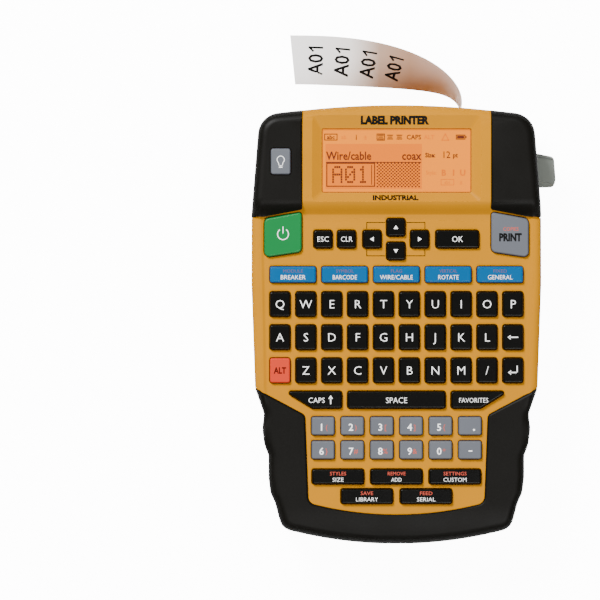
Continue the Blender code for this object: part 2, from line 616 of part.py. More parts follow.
def make_drive():
    platen_phase = 0.0
    motor_at, motor_phase = meshed(PLATEN_AT, PLATEN_TEETH, platen_phase, math.radians(-40), PINION_TEETH)
    idler_at, idler_phase = meshed(PLATEN_AT, PLATEN_TEETH, platen_phase, math.radians(190), IDLER_TEETH)
    ribbon_at, ribbon_phase = meshed(idler_at, IDLER_TEETH, idler_phase, math.radians(160), RIBBON_TEETH)

    bay = block((-BAY_X - BAY_WALL, BAY_X + BAY_WALL), (BAY_Y[0] - BAY_WALL, BAY_Y[1] + BAY_WALL),
                (COVER_THICK + 0.4, BAY_FLOOR_Z + BAY_WALL))
    bay = cut(bay, block((-BAY_X, BAY_X), BAY_Y, (-1, BAY_FLOOR_Z)))
    bay = cut(bay, block((TAPE_X - 3, TAPE_X + 3), (85, 95), (3.0, 28.4)))
    bay = cut(bay, disc(*PLATEN_AT, 2.4, 25, 33, 16), disc(*ribbon_at, 3.0, 25, 33, 16))
    # posts that the spools turn on, and the idler's axle
    for at, radius in ((TAPE_SPOOL_AT, 3.0), (RIBBON_SUPPLY_AT, 2.0)):
        bay = join(bay, disc(*at, radius, 6.5, BAY_FLOOR_Z + 0.5, 16))
    bay = join(bay, disc(*idler_at, 1.4, BAY_FLOOR_Z + 0.5, 36.2, 12))
    node(bay, "cassette_bay", "dark_plastic")

    gear_plate = plate(rounded([(2, 63, 3), (52, 58, 3), (54, 86, 3), (2, 86, 3)], 2), 35.5, 36.8)
    for at, radius in ((PLATEN_AT, 1.8), (idler_at, 1.7), (ribbon_at, 1.5), (motor_at, 1.8)):
        gear_plate = cut(gear_plate, disc(*at, radius, 34, 38, 14))
    node(gear_plate, "gear_plate", "steel")

    motor = disc(*motor_at, MOTOR_RADIUS, 37.1, 47.8, 28)
    motor = join(motor, disc(*motor_at, 2.2, 47, 49.0, 16))
    node(motor, "feed_motor", "steel")
    pinion = join(gear(motor_at, PINION_TEETH, motor_phase, *GEAR_Z), disc(*motor_at, 1.0, 32.0, 36.8, 12))
    node(pinion, "motor_pinion", "white_plastic", (*motor_at, 0))

    platen = disc(*PLATEN_AT, PLATEN_RADIUS, TAPE_Z - 12.5, TAPE_Z + 12.5, 32)
    platen = join(platen, disc(*PLATEN_AT, 1.4, 2.5, 38.4, 14))
    node(platen, "platen_roller", "silicone", (*PLATEN_AT, 0))
    platen_gear = cut(gear(PLATEN_AT, PLATEN_TEETH, platen_phase, *GEAR_Z), disc(*PLATEN_AT, 1.7, 30, 37, 14))
    node(platen_gear, "platen_gear", "white_plastic", (*PLATEN_AT, 0))
    idler = cut(gear(idler_at, IDLER_TEETH, idler_phase, *GEAR_Z), disc(*idler_at, 1.7, 30, 37, 14))
    node(idler, "idler_gear", "white_plastic", (*idler_at, 0))
    drive = gear(ribbon_at, RIBBON_TEETH, ribbon_phase, *GEAR_Z)
    drive = join(drive, disc(*ribbon_at, 1.2, 34, 37.6, 12), disc(*ribbon_at, 2.2, 6.0, 32.5, 6))
    node(drive, "ribbon_gear", "white_plastic", (*ribbon_at, 0))

    node(spool(ribbon_at, RIBBON_TAKEUP_RADIUS, 5.0, 2.7), "ribbon_takeup_spool", "dark_plastic", (*ribbon_at, 0))
    node(spool(RIBBON_SUPPLY_AT, RIBBON_SUPPLY_RADIUS, 5.0, 2.4), "ribbon_supply_spool", "dark_plastic",
         (*RIBBON_SUPPLY_AT, 0))
    node(spool(TAPE_SPOOL_AT, TAPE_SPOOL_RADIUS, 9.0, 3.4), "tape_spool", "label_tape", (*TAPE_SPOOL_AT, 0))

    case_outline = [(-44, 26, 3), (22, 26, 3), (30.6, 33, 2), (30.6, 64, 1), (22.5, 66, 1), (22.5, 82, 1),
                    (30.6, 84, 1), (30.6, 88, 1), (-44, 88, 3)]
    case = plate(rounded(case_outline, 2), 2.2, 28.8)
    for at, radius in ((TAPE_SPOOL_AT, 20.4), (RIBBON_SUPPLY_AT, 9.6), (ribbon_at, 8.2)):
        case = cut(case, disc(*at, radius, 2.9, 30, 36))
        case = cut(case, disc(*at, 2.4, 0, 6, 16))
    node(case, "cassette_shell", "dark_plastic")

    head = block((26.4, TAPE_X - TAPE_THICK / 2 - GAP), (71.5, 77.5), (TAPE_Z - 12.2, TAPE_Z + 12.2))
    head = join(head, block((24.2, 26.6), (68.5, 80.0), (TAPE_Z - 12.6, 29.0)))
    node(head, "print_head", "steel")


# ---- cutter and label --------------------------------------------------------------------------------
def make_cutter():
    px, py = LEVER_PIVOT
    arm = [(px - 3.2, py - 4.0, 3.0), (px + 3.2, py - 4.0, 3.0), (px + 3.2, 66.4, 2.0), (78.6, 66.8, 2.4),
           (77.2, 81.4, 2.6), (px + 3.0, 84.6, 2.0), (px + 0.4, 91.0, 1.0), (px - 1.6, 96.2, 0.8),
           (px - 3.2, 96.2, 0.0)]
    lever = plate(rounded(arm, 3), *LEVER_Z)
    lever = cut(lever, disc(px, py, LEVER_PIN_RADIUS + GAP, 0, 30, 16))
    node(bevelled(lever, 0.5, 1, 50), "cutter_lever", "grey_lever", (px, py, 0))
    pin = disc(px, py, LEVER_PIN_RADIUS, FLOOR + GAP, SPLIT_Z + 4, 16)
    node(pin, "lever_pivot_pin", "steel")
    turns, wire, steps = 4, 0.35, 14
    coil = bpy.data.curves.new("lever_spring", "CURVE")
    coil.dimensions = "3D"
    coil.bevel_depth = wire * MM
    coil.bevel_resolution = 1
    coil.use_fill_caps = True
    path = [(px - 2.6, py + 14.0, 3.8), (px - 2.6, py + 3.0, 3.8)]
    for k in range(turns * steps + 1):
        angle = math.pi + 2 * math.pi * k / steps
        path.append((px + 2.6 * math.cos(angle), py + 2.6 * math.sin(angle), 3.8 + 4.2 * k / (turns * steps)))
    path.append((px - 2.6, py - 6.0, 8.0))
    spline = coil.splines.new("POLY")
    spline.points.add(len(path) - 1)
    for point, spot in zip(spline.points, path):
        point.co = (*(v * MM for v in spot), 1.0)
    obj = bpy.data.objects.new("lever_spring", coil)
    bpy.context.scene.collection.objects.link(obj)
    node(baked(obj), "lever_spring", "steel")

    carriage = block((41.0, px - 3.2 - 0.4), (93.2, BLADE_Y - 0.6), (3.4, 28.0))
    node(carriage, "blade_carriage", "dark_plastic")
    edge = plate([(TAPE_X + 2.2, BLADE_Y - 0.3), (TAPE_X + 4.5, BLADE_Y + 0.3), (50.0, BLADE_Y + 0.3),
                  (50.0, BLADE_Y - 0.3)], *BLADE_Z)
    node(edge, "cutter_blade", "steel")


def make_label():
    """The printed strip: straight through the exit slot, then curling left while it turns its face up."""
    mesh = bpy.data.meshes.new("label_strip")
    shape = bmesh.new()
    # middle line as a Bezier from the slot to the free end
    points = [Vector((TAPE_X, 105.5, TAPE_Z)), Vector((TAPE_X - 1, 118.0, TAPE_Z)), Vector((8.0, 129.4, 20.0)),
              Vector((-50.5, 129.3, 24.0))]
    steps = 22
    sections = [(Vector((TAPE_X, y, TAPE_Z)), 0.0) for y in (BLADE_Y + 0.9, 102.0)]
    for k in range(steps + 1):
        t = k / steps
        weights = ((1 - t) ** 3, 3 * t * (1 - t) ** 2, 3 * t * t * (1 - t), t ** 3)
        spot = sum((w * p for w, p in zip(weights, points)), Vector((0, 0, 0)))
        sections.append((spot, min(1.0, t / 0.95) ** 1.3 * math.radians(90)))
    rings = []
    for i, (spot, twist) in enumerate(sections):
        ahead = sections[min(i + 1, len(sections) - 1)][0] - sections[max(i - 1, 0)][0]
        ahead.normalize()
        across = Vector((0, 0, 1))
        across = (across - ahead * across.dot(ahead)).normalized()
        across = Matrix.Rotation(twist, 3, ahead) @ across
        through = ahead.cross(across).normalized()
        a, b = across * TAPE_WIDTH / 2, through * TAPE_THICK / 2
        rings.append([shape.verts.new((spot + u * a + v * b) * MM) for u, v in ((-1, -1), (1, -1), (1, 1), (-1, 1))])
    for one, two in zip(rings, rings[1:]):
        for k in range(4):
            shape.faces.new((one[k], one[(k + 1) % 4], two[(k + 1) % 4], two[k]))
    shape.faces.new(rings[0])
    shape.faces.new(rings[-1])
    bmesh.ops.triangulate(shape, faces=shape.faces)
    bmesh.ops.recalc_face_normals(shape, faces=shape.faces)
    shape.to_mesh(mesh)
    shape.free()
    obj = bpy.data.objects.new("label_strip", mesh)
    bpy.context.scene.collection.objects.link(obj)
    node(obj, "label_strip", "label_tape")


def make_screws():
    for number, (x, y) in enumerate(SCREWS_AT, 1):
        screw = disc(x, y, SCREW_HEAD_RADIUS, 0.8, 2.9, 16)
        screw = join(screw, disc(x, y, SCREW_SHANK_RADIUS, 2.5, 34.5, 10))
        for a, b in ((1.9, 0.4), (0.4, 1.9)):
            screw = cut(screw, block((x - a, x + a), (y - b, y + b), (0, 1.9)))
        node(screw, f"casing_screw_{number}", "steel")


def main():
    for obj in list(bpy.data.objects):
        bpy.data.objects.remove(obj)
    collection = bpy.data.collections.new("label_maker")
    bpy.context.scene.collection.children.link(collection)
    make_casing()
    make_bumpers()
    make_electronics()
    make_keys()
    make_covers()
    make_drive()
    make_cutter()
    make_label()
    make_screws()


main()
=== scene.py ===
"""A rugged hand-held label maker, seen straight down on its keys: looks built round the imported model."""

import math

import bmesh
import bpy
from mathutils import Matrix, Vector


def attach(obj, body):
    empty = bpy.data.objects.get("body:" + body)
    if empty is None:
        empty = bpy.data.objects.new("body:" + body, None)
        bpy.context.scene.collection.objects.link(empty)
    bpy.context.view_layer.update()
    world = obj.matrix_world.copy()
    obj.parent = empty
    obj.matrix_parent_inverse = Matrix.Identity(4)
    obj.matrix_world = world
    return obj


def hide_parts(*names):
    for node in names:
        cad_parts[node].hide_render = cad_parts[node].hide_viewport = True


MM = 0.001

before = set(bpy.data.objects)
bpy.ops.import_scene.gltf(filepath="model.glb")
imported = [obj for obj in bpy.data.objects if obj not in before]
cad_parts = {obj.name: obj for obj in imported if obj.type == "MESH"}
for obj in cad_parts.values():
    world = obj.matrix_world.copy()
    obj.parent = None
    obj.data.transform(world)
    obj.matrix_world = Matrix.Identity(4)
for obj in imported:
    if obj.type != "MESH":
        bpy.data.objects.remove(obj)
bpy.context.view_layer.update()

# ---- driving sizes in millimetres: x to the right, y towards the display, z up from the flat back
# heights: the joint between the casing's halves, the deck under the keys and the face round the display
SPLIT_Z = 28.5
DECK_Z = 48.0
BROW_Z = 53.0
# foot and head of the ramp between deck and display
RAMP_Y = (52.0, 59.5)
# the rim beside the keyboard: its height, half the width of its slope, and where it runs
RIM_LIFT = 0.7
RIM_HALF = 0.9
RIM_X, RIM_Y, RIM_TAPER = 64.6, 33, 0.02
# where the face begins to fall towards each end, and how fast it curves down
HEAD_FALL = (96, 0.018)
FOOT_FALL = (-86, 0.0105)
# rounding of the casing's and the rubber's rims, the rubber's height over the casing, and its lower edge
CASING_EDGE = 3.4
BUMPER_EDGE = 4.2
BUMPER_LIFT = 1.4
BUMPER_LOW_Z = 4.0
# clearances: between the casing's halves, under the rubber, at its edges, round the keys in both
SPLIT_GAP = 0.15
SKIN_GAP = 0.1
CORE_GAP = 0.12
KEY_GAP = 0.35
BUMPER_KEY_GAP = 0.4
# the casing is cut this much wider round the light key, which only the rubber frames
LIGHT_KEY_ROOM = 0.8
# thickness of the casing's face
WALL = 2.2
# the shell stays solid in this box round the display
DISPLAY_SURROUND = ((-43.5, 43.5), (57.5, 104.5), (47.6, 60))
# opening in the right-hand rubber for the cutter lever
LEVER_OPENING = ((55, 75), (65.8, 88.0), (8.4, 23.6))
KEY_TOP_Z = 50.4
KEY_LOW_Z = 43.4
# printing on flat faces lies this far above them
PRINT_LIFT = 0.03

# ---- outlines: (x, y, rounding radius), the right-hand half from top to bottom
OUTER_RIGHT = (
    (0.0, 108.6, 400.0), (66.2, 101.6, 11.0), (70.2, 52.0, 30.0), (70.2, 20.0, 120.0), (68.4, -30.4, 0.8),
    (64.0, -43.0, 5.0), (64.9, -50.0, 4.0), (63.9, -57.8, 4.0), (61.9, -63.0, 3.0), (61.9, -73.5, 4.0),
    (61.0, -81.0, 3.0), (58.7, -86.0, 3.0), (55.4, -98.6, 7.0), (0.0, -112.0, 205.0),
)
# what the rubber wraps, with a step for its thickness where the rubber begins
CORE_RIGHT = (
    (0.0, 108.6, 400.0), (46.1, 103.6, 0.0), (46.1, 101.65, 0.0), (64.3, 99.6, 9.0), (68.0, 52.0, 0.0),
    (70.0, 52.0, 0.8), (70.1, 20.0, 120.0), (68.35, -30.35, 0.0), (65.6, -31.8, 0.0), (61.8, -43.0, 3.0),
    (60.0, -66.0, 30.0), (53.0, -97.8, 7.0), (0.0, -110.1, 205.0),
)
# the hollow inside the casing
HOLLOW_RIGHT = (
    (0.0, 105.9, 390.0), (62.2, 97.8, 8.0), (65.8, 52.0, 30.0), (67.6, 20.0, 120.0), (65.2, -28.0, 4.0),
    (59.9, -43.0, 3.0), (50.8, -95.8, 5.0), (0.0, -107.6, 195.0),
)
# inner edge of the lower rubber's right half, and the upper right rubber
BUMPER_INNER_RIGHT = ((67.6, -30.8, 0.0), (44.0, -43.4, 3.0), (42.4, -86.0, 4.0), (0.0, -96.0, 160.0))
TOP_BUMPER = (
    (45.5, 108.0, 0.0), (74.0, 108.0, 0.0), (74.0, 52.3, 0.0), (63.9, 52.3, 0.0), (45.5, 55.75, 1.0),
)
# the casing seen from the side: (y, z, rounding radius)
SIDE_PROFILE = (
    (-116.0, 0.0, 0.0), (116.0, 0.0, 0.0), (116.0, 48.6, 0.0), (99.0, BROW_Z, 12.0), (RAMP_Y[1], BROW_Z, 3.0),
    (RAMP_Y[0], DECK_Z, 3.0), (-90.0, DECK_Z, 30.0), (-116.0, 41.0, 0.0),
)
# the display's recess from the window's frame up: half width, half height, middle y, corner radius, z
RECESS = (
    (36.2, 15.6, 79.45, 1.0, 40.0), (36.2, 15.6, 79.45, 1.0, 50.5), (36.7, 16.1, 79.5, 1.3, 50.6),
    (40.7, 21.4, 81.1, 2.2, 52.9), (41.6, 22.3, 81.2, 2.6, 53.3), (41.6, 22.3, 81.2, 2.6, 60.0),
)


# ---- materials -------------------------------------------
# cells for each metre: the moulded grain, and the soft unevenness of tone
GRAIN_SCALE = 2500.0
CLOUD_SCALE = 45.0
GRAIN_DEPTH = 0.0001


def noise_node(tree, place, scale, detail):
    noise = tree.nodes.new("ShaderNodeTexNoise")
    noise.inputs["Scale"].default_value = scale
    noise.inputs["Detail"].default_value = detail
    tree.links.new(place.outputs["Object"], noise.inputs["Vector"])
    return noise


def paint(name, colour, roughness, metallic=0.0, grain=0.0, spec=0.5, mottle=0.0):
    """A Principled material with an optional fine moulded grain and a soft unevenness of colour and gloss."""
    material = bpy.data.materials.new(name)
    material.use_nodes = True
    tree = material.node_tree
    shader = tree.nodes["Principled BSDF"]
    for socket, value in (("Base Color", (*colour, 1.0)), ("Roughness", roughness), ("Metallic", metallic),
                          ("Specular IOR Level", spec)):
        shader.inputs[socket].default_value = value
    if grain or mottle:
        place = tree.nodes.new("ShaderNodeTexCoord")
    if grain:
        bump = tree.nodes.new("ShaderNodeBump")
        bump.inputs["Strength"].default_value = grain
        bump.inputs["Distance"].default_value = GRAIN_DEPTH
        tree.links.new(noise_node(tree, place, GRAIN_SCALE, 3.0).outputs["Fac"], bump.inputs["Height"])
        tree.links.new(bump.outputs["Normal"], shader.inputs["Normal"])
    if mottle:
        cloud = noise_node(tree, place, CLOUD_SCALE, 5.0)
        tone = tree.nodes.new("ShaderNodeMix")
        tone.data_type = "RGBA"
        for socket, way in ((6, -1), (7, 1)):
            tone.inputs[socket].default_value = (*(c * (1 + way * mottle) for c in colour), 1.0)
        sheen = tree.nodes.new("ShaderNodeMapRange")
        sheen.inputs["To Min"].default_value = roughness * (1 - mottle)
        sheen.inputs["To Max"].default_value = roughness * (1 + mottle)
        tree.links.new(cloud.outputs["Fac"], tone.inputs["Factor"])
        tree.links.new(cloud.outputs["Fac"], sheen.inputs["Value"])
        tree.links.new(tone.outputs[2], shader.inputs["Base Color"])
        tree.links.new(sheen.outputs["Result"], shader.inputs["Roughness"])
    return material


YELLOW = paint("yellow_casing", (0.44, 0.175, 0.0), 0.42, grain=0.35, spec=0.05, mottle=0.07)
RUBBER = paint("black_rubber", (0.0036, 0.0032, 0.0024), 0.46, grain=0.35, spec=0.085, mottle=0.2)
BLACK = paint("black_key_plastic", (0.001, 0.0009, 0.0006), 0.26, grain=0.12, spec=0.16, mottle=0.1)
GREY = paint("grey_key_plastic", (0.091, 0.097, 0.112), 0.45, grain=0.2, spec=0.2, mottle=0.08)
GREEN = paint("green_key_plastic", (0.0, 0.145, 0.032), 0.3, grain=0.12, spec=0.2, mottle=0.06)
BLUE = paint("blue_key_plastic", (0.0, 0.075, 0.21), 0.3, grain=0.12, spec=0.2, mottle=0.06)
RED = paint("red_key_plastic", (0.5, 0.036, 0.014), 0.38, grain=0.12, spec=0.1, mottle=0.06)
LEVER = paint("grey_lever_plastic", (0.2, 0.215, 0.19), 0.4, grain=0.3, spec=0.2, mottle=0.08)
DARK = paint("dark_plastic", (0.02, 0.02, 0.022), 0.5, grain=0.3, mottle=0.1)
STEEL = paint("steel", (0.6, 0.6, 0.62), 0.28, 1.0, grain=0.1, mottle=0.12)
BOARD = paint("circuit_board", (0.01, 0.13, 0.05), 0.45, mottle=0.1)
SILICONE = paint("silicone", (0.05, 0.05, 0.055), 0.7, grain=0.2, mottle=0.08)
WHITE = paint("white_plastic", (0.75, 0.75, 0.72), 0.5, grain=0.2, mottle=0.05)
INK_WHITE = paint("white_print", (0.98, 0.98, 0.97), 0.5)
INK_RED = paint("red_print", (0.5, 0.05, 0.02), 0.5)
INK_DIM = paint("dim_red_print", (0.1, 0.04, 0.09), 0.5)
INK_BROWN = paint("brown_print", (0.04, 0.003, 0.001), 0.5, spec=0.05)
INK_BLACK = paint("black_print", (0.004, 0.004, 0.004), 0.5, spec=0.05)
INK_LCD = paint("display_pixels", (0.085, 0.014, 0.004), 0.6, spec=0.1)


def glowing(material, colour, strength):
    """The material with light of its own."""
    shader = material.node_tree.nodes["Principled BSDF"]
    shader.inputs["Emission Color"].default_value = (*colour, 1.0)
    shader.inputs["Emission Strength"].default_value = strength
    return material


def lit(name, colour, strength):
    """A back-lit surface: its own light over a darker base of the same colour."""
    return glowing(paint(name, tuple(0.3 * c for c in colour), 0.6, spec=0.05), colour, strength)


LCD = lit("display_glow", (1.0, 0.26, 0.0), 1.2)
INK_SHADE = lit("display_glow_dim", (1.0, 0.215, 0.0), 0.95)
INK_FAINT = lit("display_pixels_faint", (1.0, 0.2, 0.0), 0.7)
TAPE = paint("label_tape", (0.8, 0.76, 0.74), 0.35, mottle=0.04)

# the strip's colour from its free end to the casing, as shares of its extent in x: white, then painted shade
# and a painted warm reflection of the casing where it curls down, lighter again at the casing
TAPE_PAINTED_REFLECTION = (
    (0.0, (0.95, 0.93, 0.92)), (0.35, (0.85, 0.81, 0.78)), (0.52, (0.45, 0.31, 0.23)),
    (0.7, (0.45, 0.28, 0.19)), (0.88, (0.62, 0.45, 0.37)), (1.0, (0.85, 0.75, 0.7)),
)


def tape_with_painted_reflection(name):
    """White tape, with painted shade and a painted warm reflection of the casing where it curls down towards
    it.
    """
    material = paint(name, (0.9, 0.88, 0.86), 0.4, spec=0.25)
    tree = material.node_tree
    spot = tree.nodes.new("ShaderNodeTexCoord")
    split = tree.nodes.new("ShaderNodeSeparateXYZ")
    # painted shade and painted reflection: the tape's colour ramps along x from white to tan and back
    tone = tree.nodes.new("ShaderNodeValToRGB")
    while len(tone.color_ramp.elements) < len(TAPE_PAINTED_REFLECTION):
        tone.color_ramp.elements.new(0.5)
    for element, (at, colour) in zip(tone.color_ramp.elements, TAPE_PAINTED_REFLECTION):
        element.position = at
        element.color = (*colour, 1.0)
    tree.links.new(spot.outputs["Generated"], split.inputs[0])
    tree.links.new(split.outputs["X"], tone.inputs["Fac"])
    tree.links.new(tone.outputs["Color"], tree.nodes["Principled BSDF"].inputs["Base Color"])
    return material


STRIP = tape_with_painted_reflection("printed_tape_painted_reflection")


def clear_material(name):
    """A thin clear window: mostly see-through, with a slight gloss."""
    material = bpy.data.materials.new(name)
    material.use_nodes = True
    tree = material.node_tree
    tree.nodes.remove(tree.nodes["Principled BSDF"])
    mix = tree.nodes.new("ShaderNodeMixShader")
    mix.inputs["Fac"].default_value = 0.005
    clear = tree.nodes.new("ShaderNodeBsdfTransparent")
    gloss = tree.nodes.new("ShaderNodeBsdfGlossy")
    gloss.inputs["Roughness"].default_value = 0.08
    tree.links.new(clear.outputs[0], mix.inputs[1])
    tree.links.new(gloss.outputs[0], mix.inputs[2])
    tree.links.new(mix.outputs[0], tree.nodes["Material Output"].inputs["Surface"])
    return material


WINDOW = clear_material("clear_window")


# ---- outline helpers -------------------------------------
def mirrored(right_half):
    """The whole outline from its right-hand half."""
    return list(right_half) + [(-x, y, r) for x, y, r in reversed(right_half) if x > 0]


def flipped(corners):
    """The outline's mirror image in the middle line."""
    return [(-x, y, r) for x, y, r in reversed(corners)]


# corners rounder than this are long gentle bows, drawn in this many steps
WIDE_RADIUS, WIDE_STEPS = 50, 14
# any other corner takes at most this share of the lines beside it
CORNER_SHARE = 0.49


def ring(corners, steps):
    """Points of a closed outline, each with its outward way. A quarter turn gets this many steps."""
    spots = []
    count = len(corners)
    area = sum(corners[i - 1][0] * corners[i][1] - corners[i][0] * corners[i - 1][1] for i in range(count))
    way = 1 if area > 0 else -1
    for i, (x, y, radius) in enumerate(corners):
        corner = Vector((x, y))
        before = Vector(corners[i - 1][:2]) - corner
        after = Vector(corners[(i + 1) % count][:2]) - corner
        length_in, length_out = before.length, after.length
        before.normalize()
        after.normalize()
        out_in = Vector((-before.y, before.x)) * way
        out_out = Vector((after.y, -after.x)) * way
        turn = math.pi - before.angle(after)
        convex = (-before.x * after.y + before.y * after.x) * way > 0
        if radius <= 0 or turn < 1e-4:
            miter = out_in + out_out
            spots.append((corner, miter * (2 / miter.length_squared)))
            continue
        reach = radius * math.tan(turn / 2)
        if radius < WIDE_RADIUS:
            reach = min(reach, CORNER_SHARE * length_in, CORNER_SHARE * length_out)
        radius = reach / math.tan(turn / 2)
        centre = corner + (before + after).normalized() * (radius / math.cos(turn / 2))
        arm = corner + before * reach - centre
        sense = 1 if before.x * after.y - before.y * after.x < 0 else -1
        parts = WIDE_STEPS if radius > WIDE_RADIUS else max(2, round(steps * turn / (math.pi / 2)))
        for k in range(parts + 1):
            turned = Matrix.Rotation(sense * turn * k / parts, 2) @ arm
            out = turned.normalized() if convex else -turned.normalized()
            spots.append((centre + turned, out))
    return spots


def outline(corners, steps, grow=0.0):
    """The (x, y) points of a rounded outline, grown outwards if asked."""
    return [(p.x + n.x * grow, p.y + n.y * grow) for p, n in ring(corners, steps)]


def rectangle(x, y, width, height, radius=0.0):
    a, b = width / 2, height / 2
    return [(x - a, y - b, radius), (x + a, y - b, radius), (x + a, y + b, radius), (x - a, y + b, radius)]


def circle(x, y, radius, sides):
    return [(x + radius * math.cos(math.tau * k / sides), y + radius * math.sin(math.tau * k / sides))
            for k in range(sides)]


# ---- mesh helpers ----------------------------------------
# turns a plate drawn in (y, z) so that its thickness runs along x
SIDEWAYS = Matrix(((0, 0, 1, 0), (1, 0, 0, 0), (0, 1, 0, 0), (0, 0, 0, 1)))


def object_of(data, name):
    """A new object in the scene, of a mesh, curve, lamp or camera."""
    obj = bpy.data.objects.new(name, data)
    bpy.context.scene.collection.objects.link(obj)
    return obj


def made(shape, name):
    """A new object from a finished bmesh."""
    mesh = bpy.data.meshes.new(name)
    shape.to_mesh(mesh)
    shape.free()
    return object_of(mesh, name)


def stacked(rings):
    """A closed solid through rings of (x, y, z) points with the same count, flat at both ends."""
    shape = bmesh.new()
    layers = [[shape.verts.new((x * MM, y * MM, z * MM)) for x, y, z in points] for points in rings]
    for one, two in zip(layers, layers[1:]):
        for k in range(len(one)):
            following = (k + 1) % len(one)
            shape.faces.new((one[k], one[following], two[following], two[k]))
    shape.faces.new(list(reversed(layers[0])))
    shape.faces.new(layers[-1])
    bmesh.ops.recalc_face_normals(shape, faces=shape.faces)
    return made(shape, "stacked")


def stepped(corners, steps, profile):
    """A solid on a rounded outline, drawn in by each (inset, z) of a profile from its foot to its top."""
    spots = ring(corners, steps)
    return stacked([[(p.x - n.x * inset, p.y - n.y * inset, z) for p, n in spots] for inset, z in profile])


def plate(points, low, high):
    """A flat plate of this outline between two heights."""
    obj = stacked([[(x, y, z) for x, y in points] for z in (low, high)])
    tidy(obj)
    return obj


def tidy(obj):
    """Merges coincident points and turns every face outwards."""
    shape = bmesh.new()
    shape.from_mesh(obj.data)
    bmesh.ops.remove_doubles(shape, verts=shape.verts, dist=1e-6)
    bmesh.ops.recalc_face_normals(shape, faces=shape.faces)
    shape.to_mesh(obj.data)
    shape.free()


def block(x, y, z):
    """A box between two limits each way."""
    return plate([(x[0], y[0]), (x[1], y[0]), (x[1], y[1]), (x[0], y[1])], *z)


def real_mesh(obj):
    """The mesh of a text, or of an object with its modifiers made real."""
    bpy.context.view_layer.update()
    graph = bpy.context.evaluated_depsgraph_get()
    return bpy.data.meshes.new_from_object(obj.evaluated_get(graph))


def gathered(objects):
    """One object holding the separate solids of several."""
    shape = bmesh.new()
    for obj in objects:
        shape.from_mesh(obj.data)
        bpy.data.objects.remove(obj)
    return made(shape, "gathered")


def boolean(target, operation, others):
    """The target cut by, or kept inside, each of the others in turn, which are used up."""
    for other in others:
        modifier = target.modifiers.new("boolean", "BOOLEAN")
        modifier.operation = operation
        modifier.object = other
        modifier.solver = "EXACT"
        mesh = real_mesh(target)
        target.modifiers.clear()
        target.data = mesh
        bpy.data.objects.remove(other)
        tidy(target)
    return target


def cut(target, *others):
    return boolean(target, "DIFFERENCE", others)


def common(target, *others):
    return boolean(target, "INTERSECT", others)


def smooth(obj, angle=32):
    """Smooth shading that stops at edges sharper than the angle."""
    shape = bmesh.new()
    shape.from_mesh(obj.data)
    for face in shape.faces:
        face.smooth = True
    for edge in shape.edges:
        edge.smooth = edge.calc_face_angle(0.0) < math.radians(angle)
    shape.to_mesh(obj.data)
    shape.free()
    modifier = obj.modifiers.new("even_shading", "WEIGHTED_NORMAL")
    modifier.keep_sharp = True
    return obj


def piece(obj, name, material, body, stands_for=()):
    """Names, paints and attaches a finished piece."""
    obj.name = name
    obj.data.name = name
    obj.data.materials.clear()
    obj.data.materials.append(material)
    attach(obj, body)
    if stands_for:
        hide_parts(*stands_for)


# ---- keys ------------------------------------------------
POWER_KEY = [(-63.9, 51.3, 2.4), (-63.9, 32.6, 2.4), (-45.7, 35.3, 2.4), (-45.7, 54.7, 1.4)]
CAPS_KEY = [(-54.4, -31.9, 1.0), (-40.7, -40.3, 1.4), (-26.3, -40.3, 1.2), (-26.3, -31.9, 1.2)]
LIGHT_KEY = rectangle(-55.9, 78.9, 9.6, 12.6, 1.3)
# middles of the columns and rows
COLUMNS = [(i - 4.5) * 12.5 for i in range(10)]
ROWS = (10.1, -5.9, -21.9)
CONTROL_Y, ESCAPE_X, CLEAR_X, CURSOR_X, OK_X = 41.5, -35.5, -24.1, -0.3, 29.4
FUNCTION_PITCH, FUNCTION_Y = 25.0, 24.4
DIGIT_PITCH, DIGIT_ROWS = 14.2, (-48.7, -60.3)
EDIT_X, EDIT_Y = 28.25, -73.2
FILE_X, FILE_Y = 14.3, -82.7


def letter(i, row):
    return rectangle(COLUMNS[i], ROWS[row], 9.9, 12.1, 1.2)


def small(x, y):
    return rectangle(x, y, 9.1, 8.7, 1.2)


def cursor(right, up):
    """Middle of the cursor key on this side of the middle of their cross."""
    return CURSOR_X + 11.5 * right, CONTROL_Y + 5.7 * up


def function_key(i):
    return rectangle((i - 2) * FUNCTION_PITCH, FUNCTION_Y, 22.4, 7.9, 1.1)


def digit(i, row):
    return rectangle((i - 2.5) * DIGIT_PITCH, DIGIT_ROWS[row], 11.2, 8.9, 1.1)


def low_key(x, y):
    return rectangle(x, y, 25.2, 7.3, 1.1)


KEYS = {
    "key_light": (GREY, [LIGHT_KEY]),
    "key_power": (GREEN, [POWER_KEY]),
    "key_print": (GREY, [flipped(POWER_KEY)]),
    "key_escape": (BLACK, [small(ESCAPE_X, CONTROL_Y)]),
    "key_clear": (BLACK, [small(CLEAR_X, CONTROL_Y)]),
    "key_left": (BLACK, [small(*cursor(-1, 0))]),
    "key_right": (BLACK, [small(*cursor(1, 0))]),
    "key_up": (BLACK, [small(*cursor(0, 1))]),
    "key_down": (BLACK, [small(*cursor(0, -1))]),
    "key_ok": (BLACK, [rectangle(OK_X, CONTROL_Y, 21.0, 8.7, 1.2)]),
    "keys_function_row": (BLUE, [function_key(i) for i in range(5)]),
    "keys_letters_upper": (BLACK, [letter(i, 0) for i in range(10)]),
    "keys_letters_home": (BLACK, [letter(i, 1) for i in range(9)]),
    "keys_letters_lower": (BLACK, [letter(i, 2) for i in range(1, 9)]),
    "key_backspace": (BLACK, [letter(9, 1)]),
    "key_enter": (BLACK, [letter(9, 2)]),
    "key_alt": (RED, [letter(0, 2)]),
    "key_caps": (BLACK, [CAPS_KEY]),
    "key_favorites": (BLACK, [flipped(CAPS_KEY)]),
    "key_space": (BLACK, [rectangle(0, -36.1, 47.4, 8.4, 1.2)]),
    "keys_digits_upper": (GREY, [digit(i, 0) for i in range(6)]),
    "keys_digits_lower": (GREY, [digit(i, 1) for i in range(6)]),
    "keys_edit_row": (BLACK, [low_key(i * EDIT_X, EDIT_Y) for i in (-1, 0, 1)]),
    "keys_file_row": (BLACK, [low_key(i * FILE_X, FILE_Y) for i in (-1, 1)]),
}
